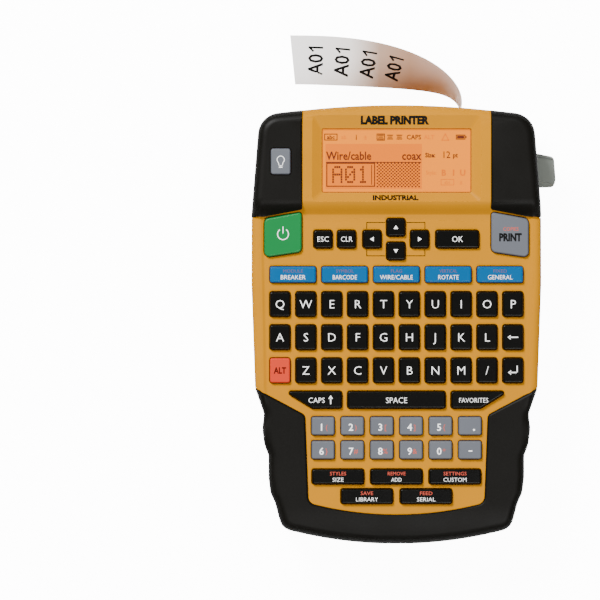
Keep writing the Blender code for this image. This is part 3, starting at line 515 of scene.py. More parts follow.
# the light key stands 1.2 out of the rubber beside the display, half as far as the others out of the deck
KEY_LIFT = {"key_light": BROW_Z - DECK_Z + BUMPER_LIFT - 1.2}
# over the key's rounded rim: (inset, depth below the key's height)
KEY_RIM = ((0.0, 1.5), (0.06, 0.85), (0.2, 0.42), (0.45, 0.13), (0.75, 0.02), (0.9, 0.02))
# the bar that joins a row of keys from below: half its width, its lower side and its inset at both ends
ROW_BAR_HALF, ROW_BAR_LOW_Z, ROW_BAR_INSET = 2.5, 41.9, 2


def make_keys():
    for name, (material, outlines) in KEYS.items():
        top = KEY_TOP_Z + KEY_LIFT.get(name, 0.0)
        profile = [(0.0, KEY_LOW_Z)] + [(inset, top - depth) for inset, depth in KEY_RIM]
        keys = [stepped(corners, 5, profile) for corners in outlines]
        if len(keys) > 1:
            middle = sum(c[1] for c in outlines[0]) / 4
            left, right = outlines[0][0][0] + ROW_BAR_INSET, outlines[-1][1][0] - ROW_BAR_INSET
            keys.append(block((left, right), (middle - ROW_BAR_HALF, middle + ROW_BAR_HALF),
                              (ROW_BAR_LOW_Z, KEY_LOW_Z - 0.1)))
        cap = smooth(gathered(keys) if len(keys) > 1 else keys[0])
        piece(cap, name + "_caps", material, name, [name])


# ---- casing and bumpers ----------------------------------
def deck_height(x, y):
    """Height of the casing's face: a ramp below the display, a fall towards both ends, a rim at the sides."""
    up = max(0.0, min(1.0, (y - RAMP_Y[0]) / (RAMP_Y[1] - RAMP_Y[0])))
    up = up * up * (3 - 2 * up)
    side = max(0.0, min(1.0, (abs(x) - rim_at(y) + RIM_HALF) / (2 * RIM_HALF)))
    height = DECK_Z + (BROW_Z - DECK_Z) * up + RIM_LIFT * (1 - up) * side * side * (3 - 2 * side)
    past_head = max(0.0, y - HEAD_FALL[0])
    past_foot = max(0.0, FOOT_FALL[0] - y)
    return height - HEAD_FALL[1] * past_head ** 2 - FOOT_FALL[1] * past_foot ** 2


def rim_at(y):
    """How far from the middle the keyboard's field ends and the raised rim begins."""
    return RIM_X - (RIM_Y - y) * RIM_TAPER


def evenly(points, count):
    """The polyline's points again, evenly spaced along it."""
    lengths = [0.0]
    for p, q in zip(points, points[1:]):
        lengths.append(lengths[-1] + (q - p).length)
    spaced, k = [], 0
    for i in range(count):
        at = lengths[-1] * i / (count - 1)
        while k < len(points) - 2 and lengths[k + 1] < at:
            k += 1
        spaced.append(points[k].lerp(points[k + 1], (at - lengths[k]) / (lengths[k + 1] - lengths[k])))
    return spaced


def soft_normals(points, passes):
    """Outward ways of a right-hand half outline from top to bottom, evened out so that insets don't cross."""
    ways = []
    for i in range(len(points)):
        along = (points[min(i + 1, len(points) - 1)] - points[max(i - 1, 0)]).normalized()
        ways.append(Vector((-along.y, along.x)))
    for _ in range(passes):
        padded = [ways[0]] + ways + [ways[-1]]
        ways = [(a + 2 * b + c).normalized() for a, b, c in zip(padded, padded[1:], padded[2:])]
    return ways


# how finely a form is drawn: points along half its outline, passes that even out their normals, and
# steps round the rim
HALF_POINTS = 150
NORMAL_PASSES = 8
EDGE_STEPS = 6


def form(lift, edge, low):
    """The casing's whole form from low upwards, its rim rounded, its face lifted over the deck's height."""
    spots = [p for p, _ in ring(mirrored(OUTER_RIGHT), 8) if p.x > 1e-4]
    spots.sort(key=lambda p: math.atan2(p.x, p.y))
    points = evenly(spots, HALF_POINTS)
    right = list(zip(points, soft_normals(points, NORMAL_PASSES)))
    turns = [math.radians(90 * k / EDGE_STEPS) for k in range(EDGE_STEPS + 1)]
    levels = [(0.0, None)] + [(edge * (1 - math.cos(a)), edge * (1 - math.sin(a))) for a in turns]
    shape = bmesh.new()
    rows = []
    for inset, below in levels:
        half = []
        for p, n in right:
            x, y = max(0.3, p.x - n.x * inset), p.y - n.y * inset
            half.append((x, y, low if below is None else deck_height(x, y) + lift - below))
        ring_points = half + [(-x, y, z) for x, y, z in reversed(half)]
        rows.append([shape.verts.new((x * MM, y * MM, z * MM)) for x, y, z in ring_points])
    count = len(rows[0])
    for one, two in zip(rows, rows[1:]):
        for k in range(count):
            shape.faces.new((one[k], one[(k + 1) % count], two[(k + 1) % count], two[k]))
    shape.faces.new(rows[0])
    top = rows[-1]
    bands = []
    for k in range(1, count // 2 - 1):
        edge_x, y = top[k].co.x / MM, top[k].co.y / MM
        # points on the rim's slope, kept apart where the outline is narrower than the rim
        across = [min(rim_at(y) + share * RIM_HALF, edge_x * (1 - 0.01 * (i + 1)))
                  for i, share in enumerate((1, 0.5, 0, -0.5, -1))]
        inner = [(x, y) for x in across] + [(-x, y) for x in reversed(across)]
        middle = [shape.verts.new((x * MM, y * MM, (deck_height(x, y) + lift) * MM)) for x, y in inner]
        bands.append([top[k], *middle, top[count - 1 - k]])
    for one, two in zip(bands, bands[1:]):
        for k in range(len(one) - 1):
            shape.faces.new((one[k], one[k + 1], two[k + 1], two[k]))
    shape.faces.new((top[0], *bands[0], top[-1]))
    shape.faces.new((top[count // 2 - 1], *bands[-1], top[count // 2]))
    bmesh.ops.recalc_face_normals(shape, faces=shape.faces)
    return made(shape, "form")


def key_holes(grow, low, high):
    """Cutters for the key holes, wider than the keys all round."""
    holes = []
    for name, (_, outlines) in KEYS.items():
        room = grow + LIGHT_KEY_ROOM if name == "key_light" else grow
        for corners in outlines:
            holes.append(stepped(corners, 3, ((-room, low), (-room, high))))
    return gathered(holes)


def make_casing():
    casing = form(0.0, CASING_EDGE, SPLIT_Z + SPLIT_GAP)
    casing = common(casing, plate(outline(mirrored(CORE_RIGHT), 8), -5, 70))
    # the hollow: its outline from above and, one wall lower than the face, from the side
    inner_profile = [(y, z - WALL if z > 10 else z, radius) for y, z, radius in SIDE_PROFILE]
    side_room = plate(outline(inner_profile, 4), -80, 80)
    side_room.data.transform(SIDEWAYS)
    tidy(side_room)
    room = common(plate(outline(mirrored(HOLLOW_RIGHT), 4), 2, 60), side_room)
    room = cut(room, block(*DISPLAY_SURROUND))
    casing = cut(casing, room)
    casing = cut(casing, key_holes(KEY_GAP, 40, 68))
    rings = []
    for half_x, half_y, middle, radius, z in RECESS:
        rings.append([(x, y, z) for x, y in outline(rectangle(0, middle, 2 * half_x, 2 * half_y, radius), 5)])
    casing = cut(casing, stacked(rings))
    smooth(casing, 28)
    piece(casing, "front_shell", YELLOW, "casing", ["front_casing"])


# the rounding of the rubber's inner edge: (inset, depth below the rubber's top)
BUMPER_RIM = ((0.0, 1.5), (0.1, 0.8), (0.4, 0.35), (0.8, 0.1), (1.3, -0.02), (1.4, -20))


def bumper_shell(corners, steps, top):
    """The rubber over one region of the casing, with its inner edge rounded below this height."""
    region = stepped(corners, steps, [(0.0, -10.0)] + [(inset, top - depth) for inset, depth in BUMPER_RIM])
    bumper = common(form(BUMPER_LIFT, BUMPER_EDGE, BUMPER_LOW_Z), region)
    core = common(form(SKIN_GAP, CASING_EDGE, -5.0),
                  plate(outline(mirrored(CORE_RIGHT), 8, CORE_GAP), -9, 70))
    return cut(bumper, core)


def make_bumpers():
    for side, name in ((-1, "top_left_bumper"), (1, "top_right_bumper")):
        corners = [(side * x, y, r) for x, y, r in TOP_BUMPER]
        bumper = bumper_shell(corners, 3, BROW_Z + BUMPER_LIFT)
        if side < 0:
            bumper = cut(bumper, plate(outline(LIGHT_KEY, 3, BUMPER_KEY_GAP), 40, 60))
        else:
            bumper = cut(bumper, block(*LEVER_OPENING))
        piece(smooth(bumper, 30), name + "_skin", RUBBER, "casing", [name])
    # the lower rubber: everything outside its inner edge
    lower = [(74.0, -30.55, 0.0), (74.0, -125.0, 0.0), (-74.0, -125.0, 0.0), (-74.0, -30.55, 0.0)]
    lower += reversed(mirrored(BUMPER_INNER_RIGHT))
    bumper = bumper_shell(lower, 6, DECK_Z + BUMPER_LIFT)
    piece(smooth(bumper, 30), "lower_bumper_skin", RUBBER, "casing", ["lower_bumper"])


# ---- printed marks ---------------------------------------
# how much the letters' strokes swell, as a share of their height
THIN, BOLD = -0.015, 0.04
# height of the capitals, as a share of the typeface's size
CAPITALS = 0.69
# heights of the print on the keys and on the deck
PRINT_Z = KEY_TOP_Z + PRINT_LIFT
DECK_PRINT_Z = DECK_Z + PRINT_LIFT


class Marks:
    """Flat printing at one height, gathered into one piece."""

    def __init__(self, z=PRINT_Z):
        self.z = z
        self.shape = bmesh.new()

    def text(self, words, x, y, height, align="CENTER", width=None, squeeze=1.0, turn=0.0, heavy=0.0):
        """Letters whose capitals have this height, aligned on (x, y) and drawn to a width if given."""
        curve = bpy.data.curves.new("words", "FONT")
        curve.body = words
        curve.size = height / CAPITALS
        curve.resolution_u = 2
        curve.offset = heavy * height
        curve.align_x = align
        obj = object_of(curve, "words")
        mesh = real_mesh(obj)
        mesh.transform(Matrix.Translation((0, -height / 2, 0)))
        if width:
            across = [v.co.x for v in mesh.vertices]
            squeeze = width / (max(across) - min(across))
        mesh.transform(Matrix.Diagonal((squeeze, 1, 1, 1)))
        mesh.transform(Matrix.Rotation(turn, 4, "Z"))
        mesh.transform(Matrix.Translation((x, y, self.z)))
        self.shape.from_mesh(mesh)
        bpy.data.objects.remove(obj)
        bpy.data.meshes.remove(mesh)

    def area(self, points):
        """One flat face."""
        self.shape.faces.new([self.shape.verts.new((x, y, self.z)) for x, y in points])

    def box(self, x, y, width, height):
        a, b = width / 2, height / 2
        self.area([(x - a, y - b), (x + a, y - b), (x + a, y + b), (x - a, y + b)])

    def frame(self, x, y, width, height, line):
        """The outline of a box, this wide and high over all."""
        for side in (-1, 1):
            self.box(x + side * (width - line) / 2, y, line, height)
            self.box(x, y + side * (height - line) / 2, width - 2 * line, line)

    def stroke(self, path, line):
        """A line through points, with square joints."""
        for (ax, ay), (bx, by) in zip(path, path[1:]):
            way = Vector((bx - ax, by - ay)).normalized()
            side = Vector((-way.y, way.x)) * line / 2
            way = way * line / 2
            a, b = Vector((ax, ay)) - way, Vector((bx, by)) + way
            self.area([tuple(a - side), tuple(b - side), tuple(b + side), tuple(a + side)])

    def arc(self, x, y, radius, line, start, end, steps=24):
        """A line along part of a circle, between two turns in degrees."""
        inner, outer = radius - line / 2, radius + line / 2
        start, end = math.radians(start), math.radians(end)
        for k in range(steps):
            a, b = (start + (end - start) * t / steps for t in (k, k + 1))
            corners = ((inner, a), (outer, a), (outer, b), (inner, b))
            self.area([(x + r * math.cos(t), y + r * math.sin(t)) for r, t in corners])

    def done(self, name, material, body):
        """Makes the piece, with every face upwards."""
        bmesh.ops.scale(self.shape, vec=(MM, MM, MM), verts=self.shape.verts)
        for face in self.shape.faces:
            if face.normal.z < 0:
                face.normal_flip()
        piece(made(self.shape, name), name, material, body)


LETTER_ROWS = (
    # the key row, its letters, its place in ROWS and the column it starts in
    ("keys_letters_upper", "QWERTYUIOP", 0, 0),
    ("keys_letters_home", "ASDFGHJKL", 1, 0),
    ("keys_letters_lower", "ZXCVBNM/", 2, 1),
)
DIGIT_KEYS = (("keys_digits_upper", "12345", "()[]{"), ("keys_digits_lower", "67890", "}#%&*"))
WORD_KEYS = (
    # the key, its word, the word's middle, the height of its capitals, its width, ink and weight
    ("key_escape", "ESC", ESCAPE_X, CONTROL_Y, 2.5, 5.5, INK_WHITE, THIN),
    ("key_clear", "CLR", CLEAR_X, CONTROL_Y, 2.5, 5.5, INK_WHITE, THIN),
    ("key_ok", "OK", OK_X, CONTROL_Y, 2.8, 5.2, INK_WHITE, THIN),
    ("key_alt", "ALT", COLUMNS[0], ROWS[2], 2.9, 6.0, INK_BROWN, BOLD),
    ("key_space", "SPACE", 0.0, -36.3, 2.75, 10.2, INK_WHITE, THIN),
    ("key_favorites", "FAVORITES", 37.2, -36.3, 2.3, 14.0, INK_WHITE, THIN),
)
# the two words on each key, upper one first, with their widths
FUNCTION_WORDS = (
    ("MODULE", 9.6, "BREAKER", 11.9), ("SYMBOL", 8.6, "BARCODE", 11.6), ("FLAG", 5.4, "WIRE/CABLE", 15.8),
    ("VERTICAL", 8.6, "ROTATE", 9.8), ("FIXED", 6.5, "GENERAL", 11.8),
)
EDIT_WORDS = (
    (-EDIT_X, "STYLES", 7.8, "SIZE", 5.3), (0.0, "REMOVE", 8.6, "ADD", 5.0),
    (EDIT_X, "SETTINGS", 11.1, "CUSTOM", 11.1),
)
FILE_WORDS = ((-FILE_X, "SAVE", 6.0, "LIBRARY", 10.6), (FILE_X, "FEED", 6.0, "SERIAL", 8.9))
LETTER_HEIGHT, DIGIT_HEIGHT, DIGIT_SIGN_HEIGHT = 4.1, 3.3, 2.4
# width of the lines that the signs are drawn with
LINE, POWER_LINE, LIGHT_LINE, DECK_LINE = 0.5, 0.42, 0.33, 0.35


def letter_marks():
    for node, letters, row, first in LETTER_ROWS:
        marks = Marks()
        for i, character in enumerate(letters):
            marks.text(character, COLUMNS[i + first], ROWS[row], LETTER_HEIGHT, heavy=THIN)
        marks.done(node + "_print", INK_WHITE, node)


def digit_marks():
    """A white digit and a small red sign on each key, then a point or a dash on the last key of the row."""
    for row, (node, digits, signs) in enumerate(DIGIT_KEYS):
        y = DIGIT_ROWS[row] - 0.6
        white, red = Marks(), Marks()
        for i, character in enumerate(digits):
            x = (i - 2.5) * DIGIT_PITCH
            white.text(character, x - 0.7, y, DIGIT_HEIGHT, heavy=0.02)
            red.text(signs[i], x + 1.7, y, DIGIT_SIGN_HEIGHT)
        x = 2.5 * DIGIT_PITCH
        if row == 0:
            white.box(x + 1.9, y - 1.3, 0.9, 0.9)
        else:
            white.box(x + 0.2, y + 0.1, 1.8, 0.55)
        white.done(node + "_print", INK_WHITE, node)
        red.done(node + "_red_print", INK_RED, node)


def word_marks():
    for node, words, x, y, height, width, ink, heavy in WORD_KEYS:
        marks = Marks()
        marks.text(words, x, y, height, width=width, heavy=heavy)
        marks.done(node + "_print", ink, node)


def arrow_marks():
    """Triangles on the cursor keys, and arrows on the backspace, enter and capitals keys."""
    for node, right, up in (("key_up", 0, 1), ("key_left", -1, 0), ("key_down", 0, -1), ("key_right", 1, 0)):
        x, y = cursor(right, up)
        back_x, back_y = x - 0.8 * right, y - 0.8 * up
        marks = Marks()
        marks.area([(back_x - 1.1 * up, back_y + 1.1 * right), (back_x + 1.1 * up, back_y - 1.1 * right),
                    (x + right, y + up)])
        marks.done(node + "_print", INK_WHITE, node)
    marks = Marks()
    x, y = COLUMNS[9], ROWS[1]
    marks.stroke([(x - 1.8, y), (x + 2.2, y)], LINE)
    marks.area([(x - 2.6, y), (x - 1.2, y - 1.1), (x - 1.2, y + 1.1)])
    marks.done("key_backspace_print", INK_WHITE, "key_backspace")
    marks = Marks()
    y = ROWS[2]
    marks.stroke([(x - 1.4, y - 1.0), (x + 2.0, y - 1.0), (x + 2.0, y + 2.0)], LINE)
    marks.area([(x - 2.4, y - 1.0), (x - 1.0, y - 2.1), (x - 1.0, y + 0.1)])
    marks.done("key_enter_print", INK_WHITE, "key_enter")
    marks = Marks()
    marks.text("CAPS", -38.6, -36.3, 2.55, width=7.8, heavy=THIN)
    x = -31.8
    marks.stroke([(x, -37.9), (x, -35.4)], LINE)
    marks.area([(x - 1.1, -35.6), (x + 1.1, -35.6), (x, -33.9)])
    marks.done("key_caps_print", INK_WHITE, "key_caps")


def two_word_marks():
    """The blue keys, then the two lowest rows: a white word under a small red one."""
    white, red = Marks(), Marks()
    for i, (above, width_above, below, width_below) in enumerate(FUNCTION_WORDS):
        x = (i - 2) * FUNCTION_PITCH
        white.text(below, x, FUNCTION_Y - 1.3, 2.15, width=width_below, heavy=THIN)
        red.text(above, x, FUNCTION_Y + 1.7, 1.55, width=width_above)
    white.done("keys_function_print", INK_WHITE, "keys_function_row")
    red.done("keys_function_red_print", INK_DIM, "keys_function_row")
    for node, y, entries in (("keys_edit_row", EDIT_Y, EDIT_WORDS), ("keys_file_row", FILE_Y, FILE_WORDS)):
        white, red = Marks(), Marks()
        for x, above, width_above, below, width_below in entries:
            white.text(below, x, y - 1.45, 1.95, width=width_below, heavy=THIN)
            red.text(above, x, y + 1.5, 1.7, width=width_above)
        white.done(node + "_white_print", INK_WHITE, node)
        red.done(node + "_red_print", INK_RED, node)


def sign_marks():
    """Two lines on the print key, and the signs on the power and light keys."""
    marks = Marks()
    marks.text("PRINT", 54.9, 42.4, 3.5, width=10.9, heavy=0.07)
    marks.done("key_print_black_print", INK_BLACK, "key_print")
    marks = Marks()
    marks.text("COPIES", 55.2, 46.4, 1.7, width=7.4)
    marks.done("key_print_red_print", INK_RED, "key_print")
    # an open ring with a stroke in its gap
    marks = Marks()
    x, y = -54.8, 43.9
    marks.arc(x, y, 2.65, POWER_LINE, 125, 415)
    marks.stroke([(x, y + 0.6), (x, y + 3.4)], POWER_LINE)
    marks.done("key_power_print", INK_WHITE, "key_power")
    # a light bulb
    marks = Marks(PRINT_Z + KEY_LIFT["key_light"])
    x, y = -55.9, 79.7
    marks.arc(x, y, 1.75, LIGHT_LINE, -50, 230)
    foot = y - 2.9
    marks.stroke([(x - 1.1, y - 1.4), (x - 0.75, foot), (x + 0.75, foot), (x + 1.1, y - 1.4)], LIGHT_LINE)
    marks.stroke([(x - 0.6, y - 3.6), (x + 0.6, y - 3.6)], LINE)
    marks.done("key_light_print", INK_WHITE, "key_light")


def cursor_frame_marks():
    """A fine corner printed on the deck in each gap between the cursor keys."""
    marks = Marks(DECK_PRINT_Z)
    for right in (-1, 1):
        for up in (-1, 1):
            corner = ((5.3, 8.05), (14.05, 8.05), (14.05, 5.1))
            path = [(CURSOR_X + right * a, CONTROL_Y + up * b) for a, b in corner]
            marks.stroke(path, DECK_LINE)
    marks.done("deck_line_print", INK_BLACK, "casing")


# ---- display ---------------------------------------------
# the typed characters, row by row in cells
GLYPHS = {
    "A": ("01110", "10001", "10001", "11111", "10001", "10001", "10001"),
    "0": ("01110", "10001", "10011", "10101", "11001", "10001", "01110"),
    "1": ("00100", "01100", "00100", "00100", "00100", "00100", "01110"),
}
LCD_PANEL = ((-36.15, 36.15), (63.9, 95.0), (46.2, 48.9))
WINDOW_PANE = ((-36.1, 36.1), (63.95, 94.95), (49.6, 50.3))
LCD_Z = LCD_PANEL[2][1] + PRINT_LIFT
# what the display shows, from top to bottom: small signs, a line of words, the label being typed
SIGNS_Y, WORDS_Y, LABEL_Y = 90.8, 81.8, 72.6
# middle of the shaded part, which holds the words and the label
SHADE_X = -11.0
SIGN_LINE = 0.42
# pitch of the typed label's cells, and their sizes as shares of it
CELL, CELL_STEP, CELL_WIDTH, CELL_HEIGHT = 1.2, 0.84, 0.72, 0.86
# pitch across and up of the chequered area's cells
CHECK_ACROSS, CHECK_UP = 0.84, 0.8


def display_signs(ink, faint):
    """The row of small signs along the top."""
    y = SIGNS_Y
    ink.frame(-31.7, y, 6.4, 3.3, SIGN_LINE)
    ink.text("abc", -31.7, y, 1.9, heavy=0.04)
    faint.text("ab", -25.4, y, 1.9)
    ink.text("i", -19.4, y, 2.6, heavy=0.02)
    faint.text("±", -15.0, y, 2.2)
    # three signs for the lines' alignment, the first one framed
    for k in range(3):
        for row in range(3):
            ink.box(-7.6 + 4.5 * k, y + 0.9 - 0.9 * row, 2.8 - 0.5 * (row == 1), 0.5)
    ink.frame(-7.6, y, 4.0, 3.4, SIGN_LINE)
    ink.text("CAPS", 8.4, y, 2.2, width=7.0, heavy=0.03)
    faint.text("ALT", 15.8, y, 2.0)
    faint.stroke([(22.0, y - 1.5), (25.2, y - 1.5), (23.6, y + 1.5), (22.0, y - 1.5)], 0.4)
    # a full battery
    ink.frame(31.0, y, 4.6, 2.4, SIGN_LINE)
    ink.box(31.0, y, 3.4, 1.3)
    ink.box(33.6, y, 0.5, 1.0)


def display_label(ink):
    """The line of words, and under it the typed label, the text cursor and the tape's chequered rest."""
    ink.text("Wire/cable", -33.9, WORDS_Y, 3.9, align="LEFT", squeeze=0.86, heavy=0.03)
    ink.text("coax", 11.9, WORDS_Y, 3.9, align="RIGHT", squeeze=0.86, heavy=0.03)
    ink.box(SHADE_X, 78.6, 46.0, 0.4)
    ink.frame(-22.1, LABEL_Y, 23.6, 11.6, 0.5)
    for k, character in enumerate("A01"):
        for row, line in enumerate(GLYPHS[character]):
            for column, bit in enumerate(line):
                if bit == "1":
                    x = -30.6 + k * 6.2 + column * CELL * CELL_STEP
                    ink.box(x, 76.3 - row * CELL, CELL * CELL_WIDTH, CELL * CELL_HEIGHT)
    ink.box(-12.0, LABEL_Y, 0.4, 9.6)
    for row in range(15):
        for column in range(25):
            if (row + column) % 2 == 0:
                ink.box(-9.2 + column * CHECK_ACROSS, 66.9 + row * CHECK_UP, 0.76, 0.68)


def display_settings(ink, faint):
    """Size and style at the right."""
    ink.text("Size:", 16.3, 82.1, 2.1, squeeze=0.9, heavy=0.05)
    ink.text("12", 24.0, 82.3, 3.2, squeeze=0.9, heavy=0.01)
    ink.text("pt", 28.4, 82.1, 2.2, squeeze=0.9, heavy=0.04)
    faint.text("Style:", 16.8, 73.6, 1.9, squeeze=0.9)
    for word, x in zip("BIU", (22.8, 27.6, 32.0)):
        faint.text(word, x, 73.6, 2.8, heavy=0.05)
    faint.frame(24.6, 69.0, 6.4, 3.0, 0.3)
    faint.text("abc", 24.6, 69.0, 1.5)
    faint.text("±", 31.2, 69.0, 2.0)


def make_display():
    """A lit panel under a clear window, and on the panel its dark, faint and shaded parts."""
    piece(block(*LCD_PANEL), "lcd_panel", LCD, "casing", ["lcd_module"])
    ink, faint, shade = Marks(LCD_Z), Marks(LCD_Z), Marks(LCD_Z - PRINT_LIFT / 2)
    shade.box(SHADE_X, 76.6, 46.6, 21.8)
    ink.frame(0.0, 79.45, 72.1, 30.9, 0.3)
    display_signs(ink, faint)
    display_label(ink)
    display_settings(ink, faint)
    shade.done("lcd_shade", INK_SHADE, "casing")
    ink.done("lcd_pixels_dark", INK_LCD, "casing")
    faint.done("lcd_pixels_faint", INK_FAINT, "casing")
    piece(block(*WINDOW_PANE), "window_pane", WINDOW, "casing", ["display_window"])


# height of the print's plane over the inner edges of the recess's slopes
SLOPE_LOW_Z = 50.66


def deck_marks():
    """Print on the recess's slopes above and below the display, tilted with them."""
    # the print's middle, height, width and weight, then the slope's inner edge and its steepness
    for name, words, x, y, height, width, heavy, edge_y, slope in (
        ("brow_print", "LABEL PRINTER", -1.1, 98.9, 3.6, 33.0, 0.09, 95.6, 0.333),
        ("sill_print", "INDUSTRIAL", -0.6, 61.5, 2.2, 22.0, 0.06, 63.4, -0.657),
    ):
        marks = Marks(0.0)
        marks.text(words, x, y, height, width=width, heavy=heavy)
        for vertex in marks.shape.verts:
            vertex.co.z = SLOPE_LOW_Z + (vertex.co.y - edge_y) * slope
        marks.done(name, INK_BLACK, "casing")


# ---- cutter lever ----------------------------------------
PIVOT_X, PIVOT_Y = 60.5, 54.0
PIN_HOLE_RADIUS = 1.9
LEVER_ARM = (
    (PIVOT_X - 3.2, PIVOT_Y - 4.0, 3.0), (PIVOT_X + 3.2, PIVOT_Y - 4.0, 3.0), (PIVOT_X + 3.2, 66.9, 2.0),
    (77.6, 67.4, 1.6), (78.3, 71.0, 1.4), (77.5, 82.0, 2.4), (68.0, 83.9, 4.0), (PIVOT_X + 3.0, 85.0, 2.4),
    (PIVOT_X + 0.4, 90.9, 2.0), (PIVOT_X - 0.5, 96.1, 1.2), (PIVOT_X - 3.15, 96.1, 1.2),
)
# its rounded edges, from its back to its face: (inset, z)
LEVER_EDGES = (
    (1.1, 9.05), (0.6, 9.2), (0.2, 9.55), (0.0, 10.1), (0.0, 21.7), (0.2, 22.4), (0.6, 22.8), (1.1, 22.95),
)


def make_lever():
    pin_hole = plate(circle(PIVOT_X, PIVOT_Y, PIN_HOLE_RADIUS, 24), 0, 30)
    lever = cut(stepped(LEVER_ARM, 6, LEVER_EDGES), pin_hole)
    # the thumb pad steps back along its lower edge, with a groove along the upper one
    lever = cut(lever, plate([(65.5, 60.0), (80.0, 60.0), (80.0, 68.6), (65.5, 71.2)], 16.5, 30),
                plate([(65.0, 82.6), (76.6, 80.4), (76.7, 80.9), (65.0, 83.1)], 22.3, 30))
    piece(smooth(lever, 30), "lever_arm", LEVER, "lever", ["cutter_lever"])


# ---- label strip -----------------------------------------
TAPE_X, TAPE_Z, TAPE_WIDTH, TAPE_THICK = 32.0, 15.6, 24.0, 0.3
# the straight part in the slot, in equal steps, then a curve on four points
STRIP_START_Y, STRAIGHT, STRAIGHT_STEPS = 98.2, 7.3, 6
CURL = (Vector((32.0, 105.5, 15.6)), Vector((31.0, 118.0, 15.6)), Vector((8.0, 129.4, 20.0)),
        Vector((-50.2, 129.3, 24.0)))
CURL_STEPS = 150
# along the curve it turns a quarter about its own length, ending at this share of it
TWIST_END, TWIST_POWER = 0.95, 1.3
# how far the free end is cut off square, as a slope
END_SLANT = 0.1
# the printed texts: the first one's distance from the free end, their pitch, and their lift off the tape
FIRST_TEXT, TEXT_PITCH, STRIP_PRINT_LIFT = 11.2, 12.9, 0.06


def curl_at(t):
    """Middle of the curling part and its turn about its own length, t along it from 0 to 1."""
    weights = ((1 - t) ** 3, 3 * t * (1 - t) ** 2, 3 * t * t * (1 - t), t ** 3)
    spot = sum((w * p for w, p in zip(weights, CURL)), Vector((0, 0, 0)))
    return spot, min(1.0, t / TWIST_END) ** TWIST_POWER * math.radians(90)


def strip_sections():
    """Length along the strip, middle, direction across and direction out of the printed face."""
    spots = [(Vector((TAPE_X, STRIP_START_Y + STRAIGHT * k / STRAIGHT_STEPS, TAPE_Z)), 0.0)
             for k in range(STRAIGHT_STEPS)]
    spots += [curl_at(k / CURL_STEPS) for k in range(CURL_STEPS + 1)]
    sections, run = [], 0.0
    for i, (spot, twist) in enumerate(spots):
        ahead = (spots[min(i + 1, len(spots) - 1)][0] - spots[max(i - 1, 0)][0]).normalized()
        up = Vector((0, 0, 1))
        across = Matrix.Rotation(twist, 3, ahead) @ (up - ahead * up.dot(ahead)).normalized()
        out = ahead.cross(across).normalized()
        if i:
            run += (spot - spots[i - 1][0]).length
        sections.append((run, spot, across, -out))
    return sections


SECTIONS = strip_sections()


def on_strip(along, across, lift):
    """Point of the strip this far along it, this far across it and this far off its printed face."""
    last = len(SECTIONS) - 1
    i = next((i for i in range(1, last) if along <= SECTIONS[i][0]), last)
    (a, spot_a, way_a, out_a), (b, spot_b, way_b, out_b) = SECTIONS[i - 1], SECTIONS[i]
    mix = max(0.0, min(1.0, (along - a) / (b - a)))
    return spot_a.lerp(spot_b, mix) + way_a.lerp(way_b, mix) * across + out_a.lerp(out_b, mix) * lift


def make_strip():
    total = SECTIONS[-1][0]
    rings = []
    for run, spot, way, out in SECTIONS:
        section = []
        slant = END_SLANT * (run / total) ** 4
        for side in (1, -1):
            for k in range(9):
                step = way * (k / 8 - 0.5) * TAPE_WIDTH * side
                step.x -= step.y * slant
                section.append(tuple(spot + step + out * TAPE_THICK / 2 * side))
        rings.append(section)
    strip = smooth(stacked(rings), 50)
    piece(strip, "label_tape_strip", STRIP, "label", ["label_strip"])
    # "A01" four times across the strip, drawn flat and then laid on it; the "1" is two strokes
    marks = Marks(0.0)
    for k in range(4):
        x = total - FIRST_TEXT - TEXT_PITCH * k
        marks.text("A0", x, 2.1, 7.0, width=10.6, turn=-math.pi / 2, heavy=0.028)
        marks.stroke([(x - 3.0, -6.2), (x + 3.0, -6.2), (x + 1.4, -4.6)], 0.95)
    long_edges = [e for e in marks.shape.edges if e.calc_length() > 2.0]
    bmesh.ops.subdivide_edges(marks.shape, edges=long_edges, cuts=3)
    bmesh.ops.triangulate(marks.shape, faces=marks.shape.faces)
    for vertex in marks.shape.verts:
        vertex.co = on_strip(vertex.co.x, -vertex.co.y, TAPE_THICK / 2 + STRIP_PRINT_LIFT)
    marks.done("label_print", INK_BLACK, "label")


# ---- back and insides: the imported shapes, painted --------
def paint_nodes():
    painted = {
        YELLOW: ("rear_casing", "cassette_cover", "battery_cover"),
        DARK: ("battery_pack", "power_jack", "cassette_bay", "cassette_shell", "ribbon_supply_spool",
               "ribbon_takeup_spool", "blade_carriage"),
        STEEL: ("gear_plate", "feed_motor", "print_head", "lever_pivot_pin", "lever_spring", "cutter_blade",
                *(f"casing_screw_{i}" for i in range(1, 5))),
        WHITE: ("motor_pinion", "platen_gear", "idler_gear", "ribbon_gear"),
        SILICONE: ("platen_roller", "keypad_mat"),
        BOARD: ("main_board",),
        TAPE: ("tape_spool",),
    }
    for material, names in painted.items():
        for name in names:
            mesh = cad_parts[name].data
            mesh.materials.clear()
            mesh.materials.append(material)


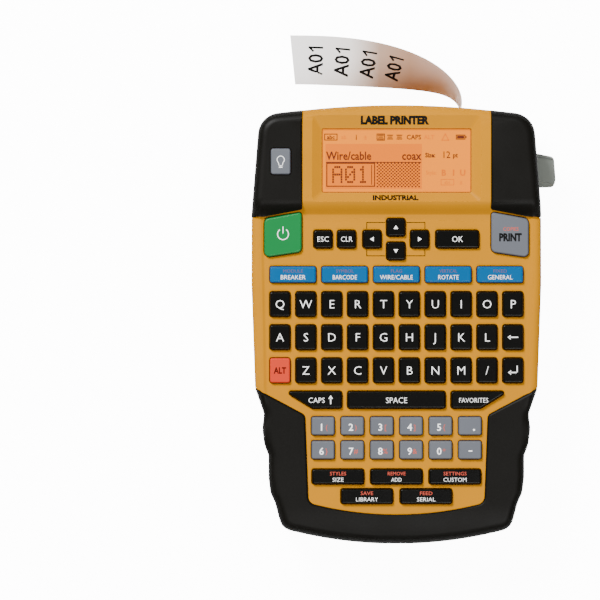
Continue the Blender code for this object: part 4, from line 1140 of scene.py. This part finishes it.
# ---- stage -----------------------------------------------
# width and middle of what the picture shows, and the camera's height over it, in metres
PICTURE_WIDTH = 0.2897
PICTURE_MIDDLE = (-0.0466, 0.0121, 0.05)
CAMERA_HEIGHT = 2.4
SENSOR_WIDTH = 36.0
FLOOR_GLOW = 12.0
SKY_STRENGTH = 0.25
# area lamps aimed at the casing's middle: name, place and size in metres, watts
LAMP_AIM = (0, 0, 0.03)
LAMPS = (
    ("key_light_lamp", (-0.7, 1.1, 1.6), 0.6, 84.0),
    ("fill_light_lamp", (0.4, -0.9, 1.8), 1.0, 34.0),
)


def make_floor():
    """A white floor whose glow lights nothing but itself: lamps and sky alone light the part."""
    floor = block((-4000, 4000), (-4000, 4000), (-20.0, -0.02))
    floor.name = "floor"
    white = paint("floor_white", (0.8, 0.8, 0.8), 0.6)
    floor.data.materials.append(glowing(white, (1.0, 1.0, 1.0), FLOOR_GLOW))
    receivers = bpy.data.collections.new("lit_by_floor")
    receivers.objects.link(floor)
    floor.light_linking.receiver_collection = receivers


def make_lights():
    world = bpy.data.worlds.new("studio")
    bpy.context.scene.world = world
    world.use_nodes = True
    sky = world.node_tree.nodes["Background"]
    sky.inputs["Color"].default_value = (1.0, 1.0, 1.0, 1.0)
    sky.inputs["Strength"].default_value = SKY_STRENGTH
    for name, place, size, watts in LAMPS:
        lamp = bpy.data.lights.new(name, "AREA")
        lamp.size = size
        lamp.energy = watts
        obj = object_of(lamp, name)
        obj.location = place
        obj.rotation_euler = (Vector(LAMP_AIM) - Vector(place)).to_track_quat("-Z", "Y").to_euler()


def make_camera():
    """A camera straight above, far enough off to show next to no perspective."""
    camera = bpy.data.cameras.new("front")
    camera.sensor_width = SENSOR_WIDTH
    camera.lens = SENSOR_WIDTH * CAMERA_HEIGHT / PICTURE_WIDTH
    camera.clip_end = 20.0
    obj = object_of(camera, "front")
    obj.location = Vector(PICTURE_MIDDLE) + Vector((0, 0, CAMERA_HEIGHT))
    bpy.context.scene.camera = obj


make_casing()
make_bumpers()
make_keys()
letter_marks()
digit_marks()
word_marks()
arrow_marks()
two_word_marks()
sign_marks()
cursor_frame_marks()
make_display()
deck_marks()
make_lever()
make_strip()
paint_nodes()
make_floor()
make_lights()
make_camera()
